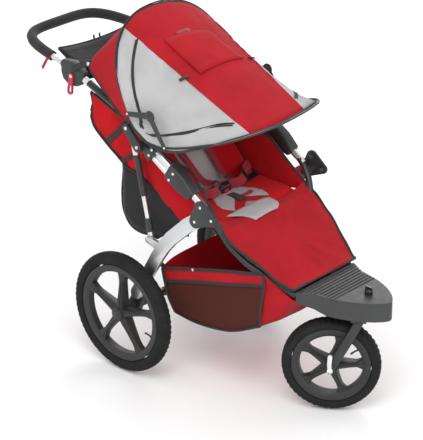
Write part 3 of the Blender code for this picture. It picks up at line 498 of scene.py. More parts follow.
def finish_nodes():
    """Every CAD node gets its material; moulded and plated pieces get rounded edges."""
    for node, obj in frame["nodes"].items():
        material = NODE_MATERIAL[slot_of[node]]
        if node.startswith("rear_beam"):
            material = "beam"
        obj.data.materials.clear()
        obj.data.materials.append(M[material])
        obj.data.shade_smooth()
        obj.data.set_sharp_from_angle(angle=math.radians(38))
    for word in SIDES:
        soften(f"frame_housing_{word}", "plastic", 0.0065, 3)
        soften(f"handle_housing_{word}", "plastic", 0.0060, 3)
        soften(f"hub_plate_{word}", "plastic", 0.0020)
        soften(f"knuckle_link_{word}", "plastic", 0.0026)
        soften(f"knuckle_fitting_{word}", "plastic", 0.0026)
        soften(f"rear_beam_{word}", "beam", 0.0016)
        soften(f"brake_carrier_{word}", "plastic", 0.0022)


# ---------------------------------------------------------------- wheels
def wheel(prefix, centre, axis, outer, half, rim_outer, window, hub_half, body, tyre_node, rim_node, spoke_turn, valve_turn):
    """Tyre with a zigzag block tread, deep five-spoke rim and valve; the turns are in degrees round the axis."""
    place = Matrix.Translation(centre) @ Vector(axis).to_track_quat("Z", "Y").to_matrix().to_4x4()

    def ring(bm, section, steps, closed=True):
        rows = []
        for s in range(steps):
            angle = 2 * math.pi * s / steps
            pair = section(angle) if callable(section) else section
            rows.append([bm.verts.new(place @ Vector((r * math.cos(angle), r * math.sin(angle), h))) for r, h in pair])
        for s in range(steps):
            first, second = rows[s], rows[(s + 1) % steps]
            count = len(first)
            for k in range(count if closed else count - 1):
                bm.faces.new((first[k], first[(k + 1) % count], second[(k + 1) % count], second[k]))

    bead = rim_outer + 0.0015
    blocks = 64 if outer > 0.18 else 50

    def section(angle):
        """The tyre's section: the shoulder blocks stand out in turn, left and right."""
        phase = angle * blocks / (2 * math.pi)
        out = []
        for k in range(21):
            t = math.radians(-128 + 256 * k / 20)
            middle, tall = (outer + bead) / 2 - 0.002, (outer - bead) / 2 + 0.001
            r = middle + tall * math.copysign(abs(math.cos(t)) ** 0.85, math.cos(t))
            h = half * math.copysign(abs(math.sin(t)) ** 0.85, math.sin(t))
            lean = abs(math.degrees(t))
            if lean < 72:
                cut = 0.5 + 0.5 * math.sin(2 * math.pi * (phase + 0.9 * lean / 72 + (0.5 if t > 0 else 0)))
                depth = 0.0022 if 10 < lean < 64 else 0.0008
                r -= depth * (1 if cut > 0.55 else 0)
            if 94 < lean < 101:
                h *= 1.02
            out.append((min(r, outer), max(-half, min(half, h))))
        return out

    bm = bmesh.new()
    ring(bm, section, blocks * 6)
    tyre = add(prefix + "_tyre", mesh_of(bm, prefix + "_tyre"), "rubber", body)
    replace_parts(tyre, tyre_node)

    bm = bmesh.new()
    wide = half * 0.70
    ring(bm, [(rim_outer + 0.0005, -wide), (rim_outer + 0.0028, -wide - 0.0012), (rim_outer - 0.001, -wide - 0.002),
              (window + 0.004, -wide + 0.0005), (window, -wide + 0.004), (window - 0.0012, 0), (window, wide - 0.004),
              (window + 0.004, wide - 0.0005), (rim_outer - 0.001, wide + 0.002), (rim_outer + 0.0028, wide + 0.0012),
              (rim_outer + 0.0005, wide)], 96)
    hub = 0.0235 if outer > 0.18 else 0.020
    for k in range(5):
        angle = math.radians(spoke_turn) + 2 * math.pi * k / 5
        for part in range(2):
            rows = []
            for i in range(9):
                t = i / 8
                r = hub * 0.7 + (window + 0.001 - hub * 0.7) * t
                flare = 0.0125 - 0.0050 * math.sin(math.pi * min(1, t * 0.72)) + 0.010 * max(0, t - 0.78) / 0.22
                tall = (hub_half * 0.92) * (1 - t) + wide * 0.72 * t
                flare *= 1.0 if part == 0 else 0.42
                tall = tall if part == 0 else tall + 0.0022
                c, s = math.cos(angle), math.sin(angle)
                corners = [(-flare, tall * 0.80), (-flare * 0.72, tall), (flare * 0.72, tall), (flare, tall * 0.80),
                           (flare, -tall * 0.80), (flare * 0.72, -tall), (-flare * 0.72, -tall), (-flare, -tall * 0.80)]
                rows.append([bm.verts.new(place @ Vector((r * c - w * s, r * s + w * c, h))) for w, h in corners])
            for first, second in zip(rows, rows[1:]):
                for j in range(8):
                    bm.faces.new((first[j], first[(j + 1) % 8], second[(j + 1) % 8], second[j]))
            bm.faces.new(rows[0][::-1])
            bm.faces.new(rows[-1])
    for low, high, r in ((-hub_half, hub_half, hub), (hub_half, hub_half + 0.004, hub * 0.8), (-hub_half - 0.004, -hub_half,
            hub * 0.8)):
        ring(bm, [(0.0064, low), (r - 0.0015, low), (r, low + 0.0015), (r, high - 0.0015), (r - 0.0015, high), (0.0064, high)], 40)
    rim = add(prefix + "_rim", mesh_of(bm, prefix + "_rim"), "rim", body)
    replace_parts(rim, rim_node)

    bm = bmesh.new()
    angle = math.radians(valve_turn)
    out = Vector((math.cos(angle), math.sin(angle), 0))
    stem = [place @ (out * (window - 0.001)), place @ (out * (window - 0.016)),
            place @ (out * (window - 0.030) + Vector((0, 0, 0.004)))]
    rod_mesh(bm, stem, [0.0032, 0.0026, 0.0034], 10)
    add(prefix + "_valve", mesh_of(bm, prefix + "_valve"), "gloss", body)


REAR_AXLE = (0.132, 0.200)
REAR_WHEEL_X, REAR_CAP_X = 0.289, 0.3145
FRONT_TURN, FRONT_TRAIL, SWIVEL_Y = 0.591, 0.087, -0.589
REAR_SPOKES, FRONT_SPOKES, REAR_VALVE, FRONT_VALVE = {"right": 15.3, "left": 20.7}, 3.2, 338.0, 31.5
FINS = 14


def wheels():
    for word, side in SIDES.items():
        wheel(f"rear_{word}", Vector((side * REAR_WHEEL_X, *REAR_AXLE)), (side, 0, 0), 0.200, 0.022, 0.157, 0.137, 0.0235,
              f"rear_wheel_{word}", f"rear_tyre_{word}", f"rear_rim_{word}", REAR_SPOKES[word], REAR_VALVE)
        bm = bmesh.new()
        dome(bm, (side * REAR_CAP_X, *REAR_AXLE), (side, 0, 0), 0.0215, 0.0075, 28)
        add(f"rear_hub_cap_{word}", mesh_of(bm, "cap"), "rim", f"rear_wheel_{word}")
    axis = Vector((math.cos(FRONT_TURN), math.sin(FRONT_TURN), 0))
    centre = Vector((-FRONT_TRAIL * math.sin(FRONT_TURN), SWIVEL_Y + FRONT_TRAIL * math.cos(FRONT_TURN), 0.154))
    wheel("front", centre, -axis, 0.154, 0.026, 0.119, 0.098, 0.0300, "front_wheel",
          "front_tyre", "front_rim", FRONT_SPOKES, FRONT_VALVE)
    bm = bmesh.new()
    for k in range(FINS):
        angle = 2 * math.pi * k / FINS
        spread = axis.cross(Vector((0, 0, 1)))
        out = spread * math.cos(angle) + Vector((0, 0, 1)) * math.sin(angle)
        near = centre - axis * 0.0325 + out * 0.010
        rod_mesh(bm, [near, near + out * 0.014], [0.0016, 0.0012], 6)
    add("front_hub_fins", mesh_of(bm, "front_hub_fins"), "rim", "front_wheel")


# ---------------------------------------------------------------- canopy
BOW_HALF, BOW_HEIGHT, BOW_POWER = 0.2522, 0.2280, 2.27


def bow_point(angle, grow=0.0):
    across = math.copysign(abs(math.cos(angle)) ** (2 / BOW_POWER), -math.cos(angle))
    rise = (BOW_HEIGHT + grow) * abs(math.sin(angle)) ** (2 / BOW_POWER)
    return Vector(((BOW_HALF + grow) * across, 0.138 + 0.519 * rise, 0.884 + rise))


def half_arch():
    """The right half of the rear bow from the pivot to the top, just outside the bow."""
    foot = [Vector((-0.2585, 0.112, 0.838)), Vector((-0.2585, 0.122, 0.858))]
    return foot + [bow_point(math.pi * i / 120, 0.0032) for i in range(2, 61)]


def half_rim():
    """The right half of the canopy's front rim, from the pivot round the corner to the middle."""
    return spline([(-0.2590, 0.112, 0.8365), (-0.2615, 0.083, 0.811), (-0.2625, 0.025, 0.786), (-0.2625, -0.032, 0.786), (-0.2620,
            -0.085, 0.797),
                   (-0.2600, -0.130, 0.814), (-0.2500, -0.178, 0.834), (-0.2320, -0.207, 0.845), (-0.2000, -0.221, 0.849),
                   (-0.160, -0.231, 0.850), (-0.115, -0.239, 0.8495), (-0.055, -0.2455, 0.849), (0.0, -0.2485, 0.8485)], 6)


def split(path, test):
    """A path cut in two at the first point where test holds."""
    index = next(i for i, p in enumerate(path) if test(p))
    return path[:index + 1], path[index:]


SIDE_COLUMNS, TOP_COLUMNS, CANOPY_ROWS = 30, 16, 26
# each seam's distance from the middle at the bow and at the rim, and how often its side panel is evened out
SEAMS = {"right": (0.150, 0.116, 240), "left": (0.200, 0.150, 45)}


def half_canopy(at_bow, at_rim, evened):
    """Rows of points over the right half: the stretched side panel up to the seam, then half the middle panel."""
    arch_low, arch_high = split(half_arch(), lambda p: p.x > -at_bow and p.z > 1.0)
    rim_low, rim_high = split(half_rim(), lambda p: p.x > -at_rim)
    rear = evenly(arch_low, SIDE_COLUMNS) + evenly(arch_high, TOP_COLUMNS)[1:]
    front = evenly(rim_low, SIDE_COLUMNS) + evenly(rim_high, TOP_COLUMNS)[1:]
    rows = []
    for r in range(CANOPY_ROWS):
        t = 0.004 + 0.992 * r / (CANOPY_ROWS - 1)
        rows.append([a.lerp(b, t) for a, b in zip(rear, front)])
    for _ in range(evened):
        for r in range(1, CANOPY_ROWS - 1):
            for c in range(1, SIDE_COLUMNS - 1):
                rows[r][c] = (rows[r - 1][c] + rows[r + 1][c] + rows[r][c - 1] + rows[r][c + 1]) / 4
    for r, row in enumerate(rows):
        for point in row[SIDE_COLUMNS:]:
            point.z -= 0.003 * math.sin(math.pi * r / (CANOPY_ROWS - 1))
        for point in row:
            point.x = max(-0.2745, point.x)
    return rows


def canopy_ripple(p):
    """Small creases: they fan out from the pivot on the sides."""
    crease = 0.0
    if abs(p.x) > 0.12:
        turn = math.atan2(p.z - 0.845, 0.117 - p.y)
        reach = math.hypot(p.z - 0.845, 0.117 - p.y)
        crease = 0.0022 * math.sin(turn * 26 + 3 * noise_at(p, 9)) * max(0, 1 - reach / 0.30) * min(1, reach / 0.05)
    return crease + 0.0022 * noise_at((p.x * 0.6, p.y, p.z), 9, 3.0) + 0.0010 * noise_at(p, 26, 5.0)


def on_half(rows, u, t, lift=0.0):
    """A point on a right half of the canopy: u counts columns from the pivot, t runs from the rear bow to the rim."""
    r = max(0.0, min(CANOPY_ROWS - 1.001, (t - 0.004) / 0.992 * (CANOPY_ROWS - 1)))
    c = max(0.0, min(len(rows[0]) - 1.001, u))
    i, j, fr, fc = int(r), int(c), r - int(r), c - int(c)
    p = rows[i][j].lerp(rows[i][j + 1], fc).lerp(rows[i + 1][j].lerp(rows[i + 1][j + 1], fc), fr)
    normal = (rows[i + 1][j] - rows[i][j]).cross(rows[i][j + 1] - rows[i][j]).normalized()
    if normal.x > 0 and abs(normal.x) > 0.5 or (abs(normal.x) <= 0.5 and normal.z < 0):
        normal = -normal
    return p + normal * (lift + canopy_ripple(p))


def on_top(halves, share, t, lift=0.0):
    """A point on the middle panel: share runs from -1 at the right seam to 1 at the left seam."""
    word = "left" if share > 0 else "right"
    seam = SIDE_COLUMNS - 1
    point = on_half(halves[word], seam + (TOP_COLUMNS - 1) * (1 - abs(share)), t, lift)
    return Vector((point.x * (-1 if share > 0 else 1), point.y, point.z))


# along the piping loop on each side panel: (u, t)
SIDE_LOOP = [(29.0, 0.112), (25.3, 0.130), (21.4, 0.151), (17.2, 0.185), (13.4, 0.234), (10.4, 0.320), (8.2, 0.436), (6.0, 0.590),
             (5.0, 0.720), (5.2, 0.815), (7.2, 0.862), (10.0, 0.842), (13.5, 0.832), (19.0, 0.848), (25.4, 0.867), (28.4, 0.896)]
# the window flap's corners on the middle panel, round from the rear right: (share, t)
FLAP = [(-0.57, 0.231), (0.518, 0.261), (0.698, 0.511), (-0.58, 0.521)]
LOOP_PATCH, TAB_AT = (-0.19, 0.238), 0.485


def canopy():
    halves = {word: half_canopy(*SEAMS[word]) for word in SIDES}
    lines = [[p.copy() for p in right] + [Vector((-p.x, p.y, p.z)) for p in reversed(left[:-1])]
             for right, left in zip(halves["right"], halves["left"])]
    total = len(lines[0])

    def pick(row, column):
        return 1 if min(column, total - 2 - column) < SIDE_COLUMNS - 1 else 0

    shell = cloth("canopy_cloth", lines, ["red", "grey"], None, 0.0016, pick, 0, canopy_ripple)
    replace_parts(shell, "canopy_shell")
    edge = [p + Vector((0, -0.001, -0.001)) for p in half_rim()]
    whole = edge + [Vector((-p.x, p.y, p.z)) for p in reversed(edge[:-1])]
    pieces = [shell, rod("canopy_rim_binding", whole, 0.0044, "piping", None, 8)]
    for word, side in SIDES.items():
        mirror = Matrix.Diagonal((-side, 1, 1))
        rows = halves[word]
        loop = spline([mirror @ on_half(rows, u, t, 0.0022) for u, t in SIDE_LOOP], 8)
        pieces.append(rod(f"canopy_side_piping_{word}", loop, 0.0030, "piping", None, 8))
        outer = spline([mirror @ on_half(rows, max(0, u - 0.75), t + (0.010 if u > 10 and t > 0.5 else -0.006), 0.0022) for u,
                t in SIDE_LOOP], 8)
        pieces.append(rod(f"canopy_outer_piping_{word}", outer, 0.0026, "piping", None, 8))
        seam = [mirror @ on_half(rows, SIDE_COLUMNS - 1, t / 30, 0.0008) for t in range(31)]
        pieces.append(rod(f"canopy_seam_{word}", seam, 0.0012, "red", None, 6))
        tab = [mirror @ on_half(rows, u, TAB_AT + 0.004 * (u - 29), 0.0035) for u in (27.4, 29.0, 30.9)]
        pieces.append(strap(f"canopy_tab_{word}", tab, 0.011, "black_web", None,
                            tuple(mirror @ Vector((-0.5, 0.1, 0.8))), 0.0035))

    def flap_point(i, r):
        a, b = i / 14, r / 10
        (s1, t1), (s2, t2), (s3, t3), (s4, t4) = FLAP
        share = (s1 * (1 - a) + s2 * a) * (1 - b) + (s4 * (1 - a) + s3 * a) * b
        t = (t1 * (1 - a) + t2 * a) * (1 - b) + (t4 * (1 - a) + t3 * a) * b
        return on_top(halves, share, t, 0.0034 + 0.0012 * b + 0.0007 * math.sin(9 * i + r))

    flap = [[flap_point(i, r) for i in range(15)] for r in range(11)]
    pieces.append(cloth("canopy_window_flap", flap, "red", None, 0.0016))
    share, start = LOOP_PATCH
    patch = [[on_top(halves, share + 0.36 * i / 4, start - 0.015 + 0.030 * r / 2, 0.0030) for i in range(5)] for r in range(3)]
    pieces.append(cloth("canopy_loop_patch", patch, "red_web", None, 0.0012))
    for piece in pieces:
        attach(piece, "canopy_front")
        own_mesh(piece)


def rear_panel():
    """The red cloth between the rear bow and the handle housings."""
    arch = [bow_point(math.pi * i / 120, 0.0030) for i in range(2, 61)]
    arch = [Vector((-0.2575, 0.118, 0.850))] + arch
    back = spline([(-0.2570, 0.118, 0.842), (-0.2545, 0.146, 0.836), (-0.2500, 0.189, 0.862), (-0.2460, 0.228, 0.897), (-0.240,
            0.272, 0.926), (-0.230, 0.312, 0.952),
                   (-0.200, 0.330, 0.972), (-0.120, 0.336, 0.982), (0.0, 0.338, 0.986)], 8)
    arch_low, arch_high = split(arch, lambda p: p.z > 1.045)
    back_low, back_high = split(back, lambda p: p.y > 0.317)
    rear = evenly(arch_low, 18) + evenly(arch_high, 12)[1:]
    front = evenly(back_low, 18) + evenly(back_high, 12)[1:]
    half = []
    for r in range(15):
        t = 0.004 + 0.996 * r / 14
        half.append([a.lerp(b, t) + Vector((0, 0.006, 0.004)) * math.sin(math.pi * t) * min(1, c / 14) for c, (a,
                b) in enumerate(zip(rear, front))])
    lines = [line + [Vector((-p.x, p.y, p.z)) for p in reversed(line[:-1])] for line in half]
    panel = cloth("canopy_rear_cloth", lines, "red", "handle_frame",
                  ripple=lambda p: 0.003 * noise_at(p, 9, 8.0) + 0.0012 * noise_at(p, 26, 1.0))
    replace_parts(panel, "canopy_rear_panel")
    for word, side in SIDES.items():
        lower = [Vector((p.x * -side, p.y, p.z)) for p in half[-1][:18]]
        rod(f"rear_cloth_binding_{word}", lower, 0.0030, "piping", "handle_frame", 8)
    bow = half_arch()
    arch = [p + Vector((0, 0.002, 0.002)) for p in bow[3:]]
    whole = arch + [Vector((-p.x, p.y, p.z)) for p in reversed(arch[:-1])]
    rod("rear_bow_binding", whole, 0.0024, "piping", "handle_frame", 8)


# ---------------------------------------------------------------- seat
def puffed(name, rows, thick, material, body, node=None, cap=0.008, pressure=4.0, sim=True):
    """A padded slab over rows of points, swelled by a cloth simulation, then smoothed."""
    count = len(rows[0])
    bm = bmesh.new()
    layers = []
    for lift in (0.5, -0.5):
        layer = []
        for r, row in enumerate(rows):
            line = []
            for c, point in enumerate(row):
                point = Vector(point)
                along = Vector(rows[min(r + 1, len(rows) - 1)][c]) - Vector(rows[max(r - 1, 0)][c])
                across = Vector(row[min(c + 1, count - 1)]) - Vector(row[max(c - 1, 0)])
                normal = along.cross(across).normalized()
                if normal.z < 0:
                    normal = -normal
                line.append(bm.verts.new(point + normal * thick * lift))
            layer.append(line)
        layers.append(layer)
    top, low = layers
    for layer, flip in ((top, False), (low, True)):
        for r in range(len(rows) - 1):
            for c in range(count - 1):
                quad = (layer[r][c], layer[r][c + 1], layer[r + 1][c + 1], layer[r + 1][c])
                bm.faces.new(quad[::-1] if flip else quad)
    last, end = len(rows) - 1, count - 1
    for c in range(count - 1):
        bm.faces.new((top[0][c], low[0][c], low[0][c + 1], top[0][c + 1]))
        bm.faces.new((top[last][c], top[last][c + 1], low[last][c + 1], low[last][c]))
    for r in range(len(rows) - 1):
        bm.faces.new((top[r][0], top[r + 1][0], low[r + 1][0], low[r][0]))
        bm.faces.new((top[r][end], low[r][end], low[r + 1][end], top[r + 1][end]))
    mesh = mesh_of(bm, name)
    obj = bpy.data.objects.new(name, mesh)
    SCENE.collection.objects.link(obj)
    mesh.materials.append(M[material])
    remesh = obj.modifiers.new("remesh", "REMESH")
    remesh.mode, remesh.voxel_size = "VOXEL", 0.0058
    bake(obj)
    if sim:
        start = [v.co.copy() for v in obj.data.vertices]
        soft = obj.modifiers.new("cloth", "CLOTH")
        soft.settings.use_pressure = True
        soft.settings.uniform_pressure_force = pressure
        soft.settings.effector_weights.gravity = 0
        soft.settings.quality = 4
        for f in range(1, 21):
            SCENE.frame_set(f)
        bake(obj)
        SCENE.frame_set(1)
        for vertex, before in zip(obj.data.vertices, start):
            step = vertex.co - before
            if step.length > cap:
                vertex.co = before + step * (cap / step.length)
    smooth = obj.modifiers.new("smooth", "SMOOTH")
    smooth.iterations, smooth.factor = 4, 0.5
    bake(obj)
    obj.data.materials.clear()
    obj.data.materials.append(M[material])
    obj.data.shade_smooth()
    if body:
        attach(obj, body)
    if node:
        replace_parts(obj, node)
    return obj


def bake(obj):
    """Turns the object's modifiers into its mesh."""
    bpy.context.view_layer.update()
    graph = bpy.context.evaluated_depsgraph_get()
    mesh = bpy.data.meshes.new_from_object(obj.evaluated_get(graph))
    obj.modifiers.clear()
    obj.data = mesh


# the apron's bound edge: half width, y, z
LEG_EDGE = [(0.2030, -0.187, 0.583), (0.2060, -0.202, 0.568), (0.2120, -0.222, 0.552), (0.2140, -0.233, 0.543), (0.2110,
        -0.252, 0.529),
            (0.2060, -0.274, 0.513), (0.1960, -0.313, 0.492), (0.1800, -0.355, 0.463), (0.1690, -0.394, 0.435), (0.1520,
            -0.430, 0.415),
            (0.1490, -0.4435, 0.4125)]
SEAT_FRONT_Z = 0.5560


def leg_rest():
    """The red apron from the seat's front edge down to the footplate, bound in black."""
    path = evenly(spline(LEG_EDGE, 8), 44)
    rows = []
    for i, point in enumerate(path):
        t = i / (len(path) - 1)
        front = min(point.z, SEAT_FRONT_Z - 0.35 * max(0.0, -0.215 - point.y)) + 0.004 * min(1, t * 3)
        line = []
        for c in range(37):
            s = -1 + 2 * c / 36
            edge = abs(s) ** 5
            dome = 1 - abs(s) ** 2.5
            line.append(Vector((point.x * s, point.y - 0.004 * dome * min(1, t * 4), front + (point.z - front) * edge)))
        rows.append(line)

    def ripple(p):
        centre = Vector((-0.02, -0.30, 0.49))
        turn = math.atan2(p.x - centre.x, p.y - centre.y)
        reach = math.hypot(p.x - centre.x, p.y - centre.y)
        fan = 0.0016 * math.sin(turn * 13 + 5 * noise_at(p, 7)) * math.exp(-((reach - 0.10) / 0.05) ** 2)
        gather = 0.0024 * math.sin(p.x * 150 + 6 * noise_at(p, 6, 2.0)) * math.exp(-((p.y + 0.235) / 0.022) ** 2)
        return fan + gather + 0.0016 * noise_at(p, 13, 4.0)

    apron = cloth("leg_apron", rows, "red", "frame", 0.0022, ripple=ripple)
    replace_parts(apron, "leg_rest")
    for word, side in SIDES.items():
        edge = [Vector((side * (p.x + 0.001), p.y, p.z + 0.001)) for p in path]
        rod(f"leg_binding_{word}", edge, 0.0042, "piping", "frame", 8)
    front = [Vector((0.1485 * s, -0.4445, 0.4135)) for s in [-1 + i / 10 for i in range(21)]]
    rod("leg_binding_front", front, 0.0042, "piping", "frame", 8)


def front_rails():
    """The bent tubes from the frame housings to the footplate, set in behind the apron's edge."""
    for word, side in SIDES.items():
        path = spline([(side * x, y, z) for x, y, z in (
            (0.2320, -0.1226, 0.6526), (0.2300, -0.160, 0.628), (0.2220, -0.192, 0.590), (0.2090, -0.214, 0.548), (0.1990,
            -0.238, 0.511),
            (0.1860, -0.289, 0.468), (0.1700, -0.335, 0.4425), (0.1520, -0.380, 0.4140), (0.1300, -0.4388, 0.3885))], 6)
        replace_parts(rod(f"front_rail_tube_{word}", path, 0.0108, "frame", "frame", 16), f"front_rail_{word}")


TONGUE_RIGHT = [(-0.134, -0.162, 0.5640), (-0.112, -0.182, 0.5640), (-0.097, -0.1945, 0.5635), (-0.086, -0.216, 0.5620), (-0.078,
        -0.234, 0.5560)]
TONGUE_LEFT = [(0.064, -0.160, 0.5640), (0.063, -0.180, 0.5640), (0.060, -0.198, 0.5635), (0.054, -0.216, 0.5620), (0.030, -0.229,
        0.5565)]


def seat():
    """Seat cushion, backrest, padded liner and the tub's sides."""
    base = []
    for r in range(16):
        y = -0.190 + 0.172 * r / 15
        z = 0.553 + 0.010 * r / 15
        base.append([Vector((0.186 * (-1 + 2 * c / 20), y, z - 0.010 * (1 - abs(-1 + 2 * c / 20) ** 2))) for c in range(21)])
    puffed("seat_cushion", base, 0.012, "red_seat", "frame", "seat_base", 0.007)
    back = []
    for r in range(24):
        t = r / 23
        centre = Vector((0, -0.004 + 0.300 * t, 0.566 + 0.300 * t))
        line = []
        for c in range(21):
            s = -1 + 2 * c / 20
            wing = abs(s) ** 3
            line.append(centre + Vector((0.183 * s, 0.016 * (1 - wing), -0.016 * (1 - wing))))
        back.append(line)
    puffed("backrest_cushion", back, 0.016, "red_seat", "backrest", "seat_back", 0.008)
    liner = []
    for r in range(26):
        t = r / 25
        centre = Vector((0, 0.006 + 0.205 * t, 0.5650 + 0.205 * t))
        half = 0.066 + 0.010 * math.sin(math.pi * t)
        liner.append([centre + Vector((half * (-1 + c / 6), 0.001, -0.001)) for c in range(13)])
    puffed("seat_liner_back", liner, 0.008, "grey_pad", "backrest", None, 0.004)
    insert = []
    for r in range(9):
        t = r / 8
        y = -0.163 + 0.140 * t
        half = 0.060 + 0.040 * math.sin(math.pi * min(1, 0.16 + t * 0.9))
        insert.append([Vector((half * (-1 + c / 6), y, 0.5600 + 0.004 * t - 0.002 * (1 - abs(-1 + c / 6)))) for c in range(13)])
    puffed("seat_liner_front", insert, 0.005, "grey_pad", "frame", None, 0.003)
    tongue = []
    left, right = evenly(TONGUE_LEFT, 12), evenly(TONGUE_RIGHT, 12)
    for a, b in zip(right, left):
        tongue.append([a.lerp(b, c / 12) + Vector((0, 0, 0.0035 * math.sin(math.pi * c / 12))) for c in range(13)])
    cloth("seat_liner_tongue", tongue, "grey_pad", "frame", 0.0030, ripple=lambda p: 0.0015 * noise_at(p, 22, 2.0))
    cover = []
    for r, (y, z) in enumerate(evenly2([(0.322, 0.868), (0.352, 0.800), (0.345, 0.776), (0.284, 0.705), (0.207, 0.651), (0.090,
            0.561), (0.030, 0.516)], 26)):
        cover.append([Vector((0.1900 * (-1 + c / 12), y + 0.008 * (1 - ((c - 12) / 12) ** 2), z)) for c in range(25)])
    cloth("backrest_rear_cloth", cover, "red", "backrest", ripple=lambda p: 0.003 * noise_at(p, 11, 2.0))
    for word, side in SIDES.items():
        seat_side(word, side)


def evenly2(points, count):
    return [(p.x, p.y) for p in evenly(spline([(a, b, 0) for a, b in points], 8), count)]


SEAT_EDGE = [(0.206, -0.202, 0.568), (0.196, -0.153, 0.6155), (0.188, -0.108, 0.660), (0.182, -0.069, 0.698), (0.187,
        -0.020, 0.712),
             (0.197, 0.030, 0.731), (0.199, 0.100, 0.765), (0.199, 0.190, 0.803), (0.199, 0.270, 0.834), (0.199, 0.339, 0.860)]
SEAT_LOW = [(-0.200, 0.556), (-0.150, 0.548), (-0.062, 0.530), (-0.030, 0.534), (0.020, 0.565), (0.081, 0.612), (0.150, 0.642),
            (0.1862, 0.650), (0.2286, 0.6774), (0.2712, 0.7049), (0.3244, 0.7465), (0.3405, 0.781)]


def seat_side(word, side):
    """Tub side: cloth slung from the frame's tubes down to the seat, with a black lower panel and webbing."""
    top = evenly(spline(SEAT_EDGE, 8), 40)
    low = evenly2(SEAT_LOW, 40)
    rows = []
    for r in range(18):
        t = r / 17
        line = []
        for i, (a, (y, z)) in enumerate(zip(top, low)):
            belly = math.sin(math.pi * t)
            x = a.x + (0.1975 - a.x) * min(1, 1.6 * t) + 0.0035 * belly
            notch = 0.009 * belly * (i / 39) ** 6
            line.append(Vector((side * x, a.y + (y - a.y) * t - notch, a.z + (z - a.z) * t)))
        rows.append(line)

    def ripple(p):
        fold = 0.0021 * math.sin((p.y + p.z) * 55 + 5 * noise_at(p, 5, side)) * (0.4 + 0.6 * max(0, noise_at(p, 6, 3 + side)))
        return fold + 0.0015 * noise_at(p, 18, 7.0)

    panel = cloth(f"seat_side_cloth_{word}", rows, "red_seat", None, 0.0014, ripple=ripple)
    edge = [Vector((side * (p.x + 0.001), p.y, p.z + 0.001)) for p in top]
    binding = rod(f"seat_side_binding_{word}", edge, 0.0040, "piping", None, 8)
    skirt_top = evenly2([(-0.062, 0.524), (-0.022, 0.540), (0.020, 0.572), (0.081, 0.620), (0.150, 0.648), (0.212, 0.655)], 24)
    skirt_low = evenly2([(-0.062, 0.486), (-0.020, 0.473), (0.020, 0.463), (0.060, 0.452), (0.165, 0.446), (0.214, 0.482)], 24)
    rows = [[Vector((side * (0.1965 - 0.006 * (r / 11)), ya + (yb - ya) * r / 11, za + (zb - za) * r / 11))
             for (ya, za), (yb, zb) in zip(skirt_top, skirt_low)] for r in range(12)]
    skirt = cloth(f"seat_skirt_{word}", rows, "black", None, 0.0014, ripple=lambda p: 0.002 * noise_at(p, 14, 3.0))
    bm = bmesh.new()
    out = side * 0.2046
    for path, width in (([(out, 0.186, 0.797), (out, 0.225, 0.755), (out, 0.268, 0.714)], 0.019),
                        ([(out, 0.205, 0.664), (out, 0.160, 0.700), (out, 0.128, 0.741)], 0.013),
                        ([(side * 0.215, 0.1206, 0.6985), (side * 0.217, 0.111, 0.654), (side * 0.215, 0.1012, 0.6092)], 0.017)):
        strap_mesh(bm, spline(path, 6), width, 0.0016, (side, 0, 0))
    rod_mesh(bm, spline([(side * 0.2015, y, z - 0.001) for y, z in reversed(SEAT_LOW[5:])], 6), 0.0036, 8)
    rod_mesh(bm, spline([(side * 0.2015, y, z) for y, z in [(0.3405, 0.781), (0.3310, 0.820), (0.3385, 0.858)]], 6), 0.0030, 8)
    trim = add(f"seat_side_straps_{word}", mesh_of(bm, "straps"), "black_web", None)
    label = strap(f"seat_side_label_{word}", [(side * 0.2192, 0.1135, 0.665), (side * 0.2192, 0.1080, 0.640)], 0.015,
            "red_web", None,
                  (side, 0, 0))
    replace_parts(panel, f"seat_side_{word}")
    for piece in (panel, binding, skirt, trim, label):
        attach(piece, "frame")
        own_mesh(piece)


def pocket():
    """Rear stowage pocket: black cloth with a knitted net behind."""
    outline = [(0.036, 0.512), (0.120, 0.582), (0.203, 0.6515), (0.214, 0.642), (0.220, 0.600), (0.2245, 0.545), (0.219, 0.492),
            (0.192, 0.4495),
               (0.149, 0.4345), (0.106, 0.438), (0.066, 0.4405)]
    rows = []
    for c in range(25):
        s = -1 + 2 * c / 24
        bulge = 1 - abs(s) ** 4
        line = []
        for y, z in evenly2(outline + [outline[0]], 49):
            deep = 0.012 * bulge * max(0, (y - 0.12) / 0.1)
            line.append(Vector((0.187 * s, y + deep, z)))
        rows.append(line)
    bag = cloth("rear_pocket_cloth", rows, ["black", "pocket_net"], "backrest", 0.0015,
                pick=lambda r, c: 1 if 16 < c < 29 else 0, ripple=lambda p: 0.002 * noise_at(p, 12, 1.0))
    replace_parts(bag, "rear_pocket")
    for word, side in SIDES.items():
        rim = [Vector((side * 0.188, y, z)) for y, z in evenly2(outline + [outline[0]], 60)]
        rod(f"pocket_binding_{word}", rim, 0.0026, "black_web", "backrest", 6)
        points = [Vector((side * 0.1865, y, z)) for y, z in outline]
        centre = sum(points, Vector()) / len(points)
        ring = evenly(points + [points[0]], 33)
        end_rows = [[centre.lerp(p, t / 5) + Vector((side * 0.004 * (1 - t / 5), 0, 0)) for p in ring] for t in (0.1, 1, 2,
                3, 4, 5)]
        cloth(f"pocket_end_{word}", end_rows, ["black", "pocket_net"], "backrest", 0.0014,
              pick=lambda r, c: 1 if 12 < c < 20 and r > 1 else 0, flat=(0.188, 0.218))


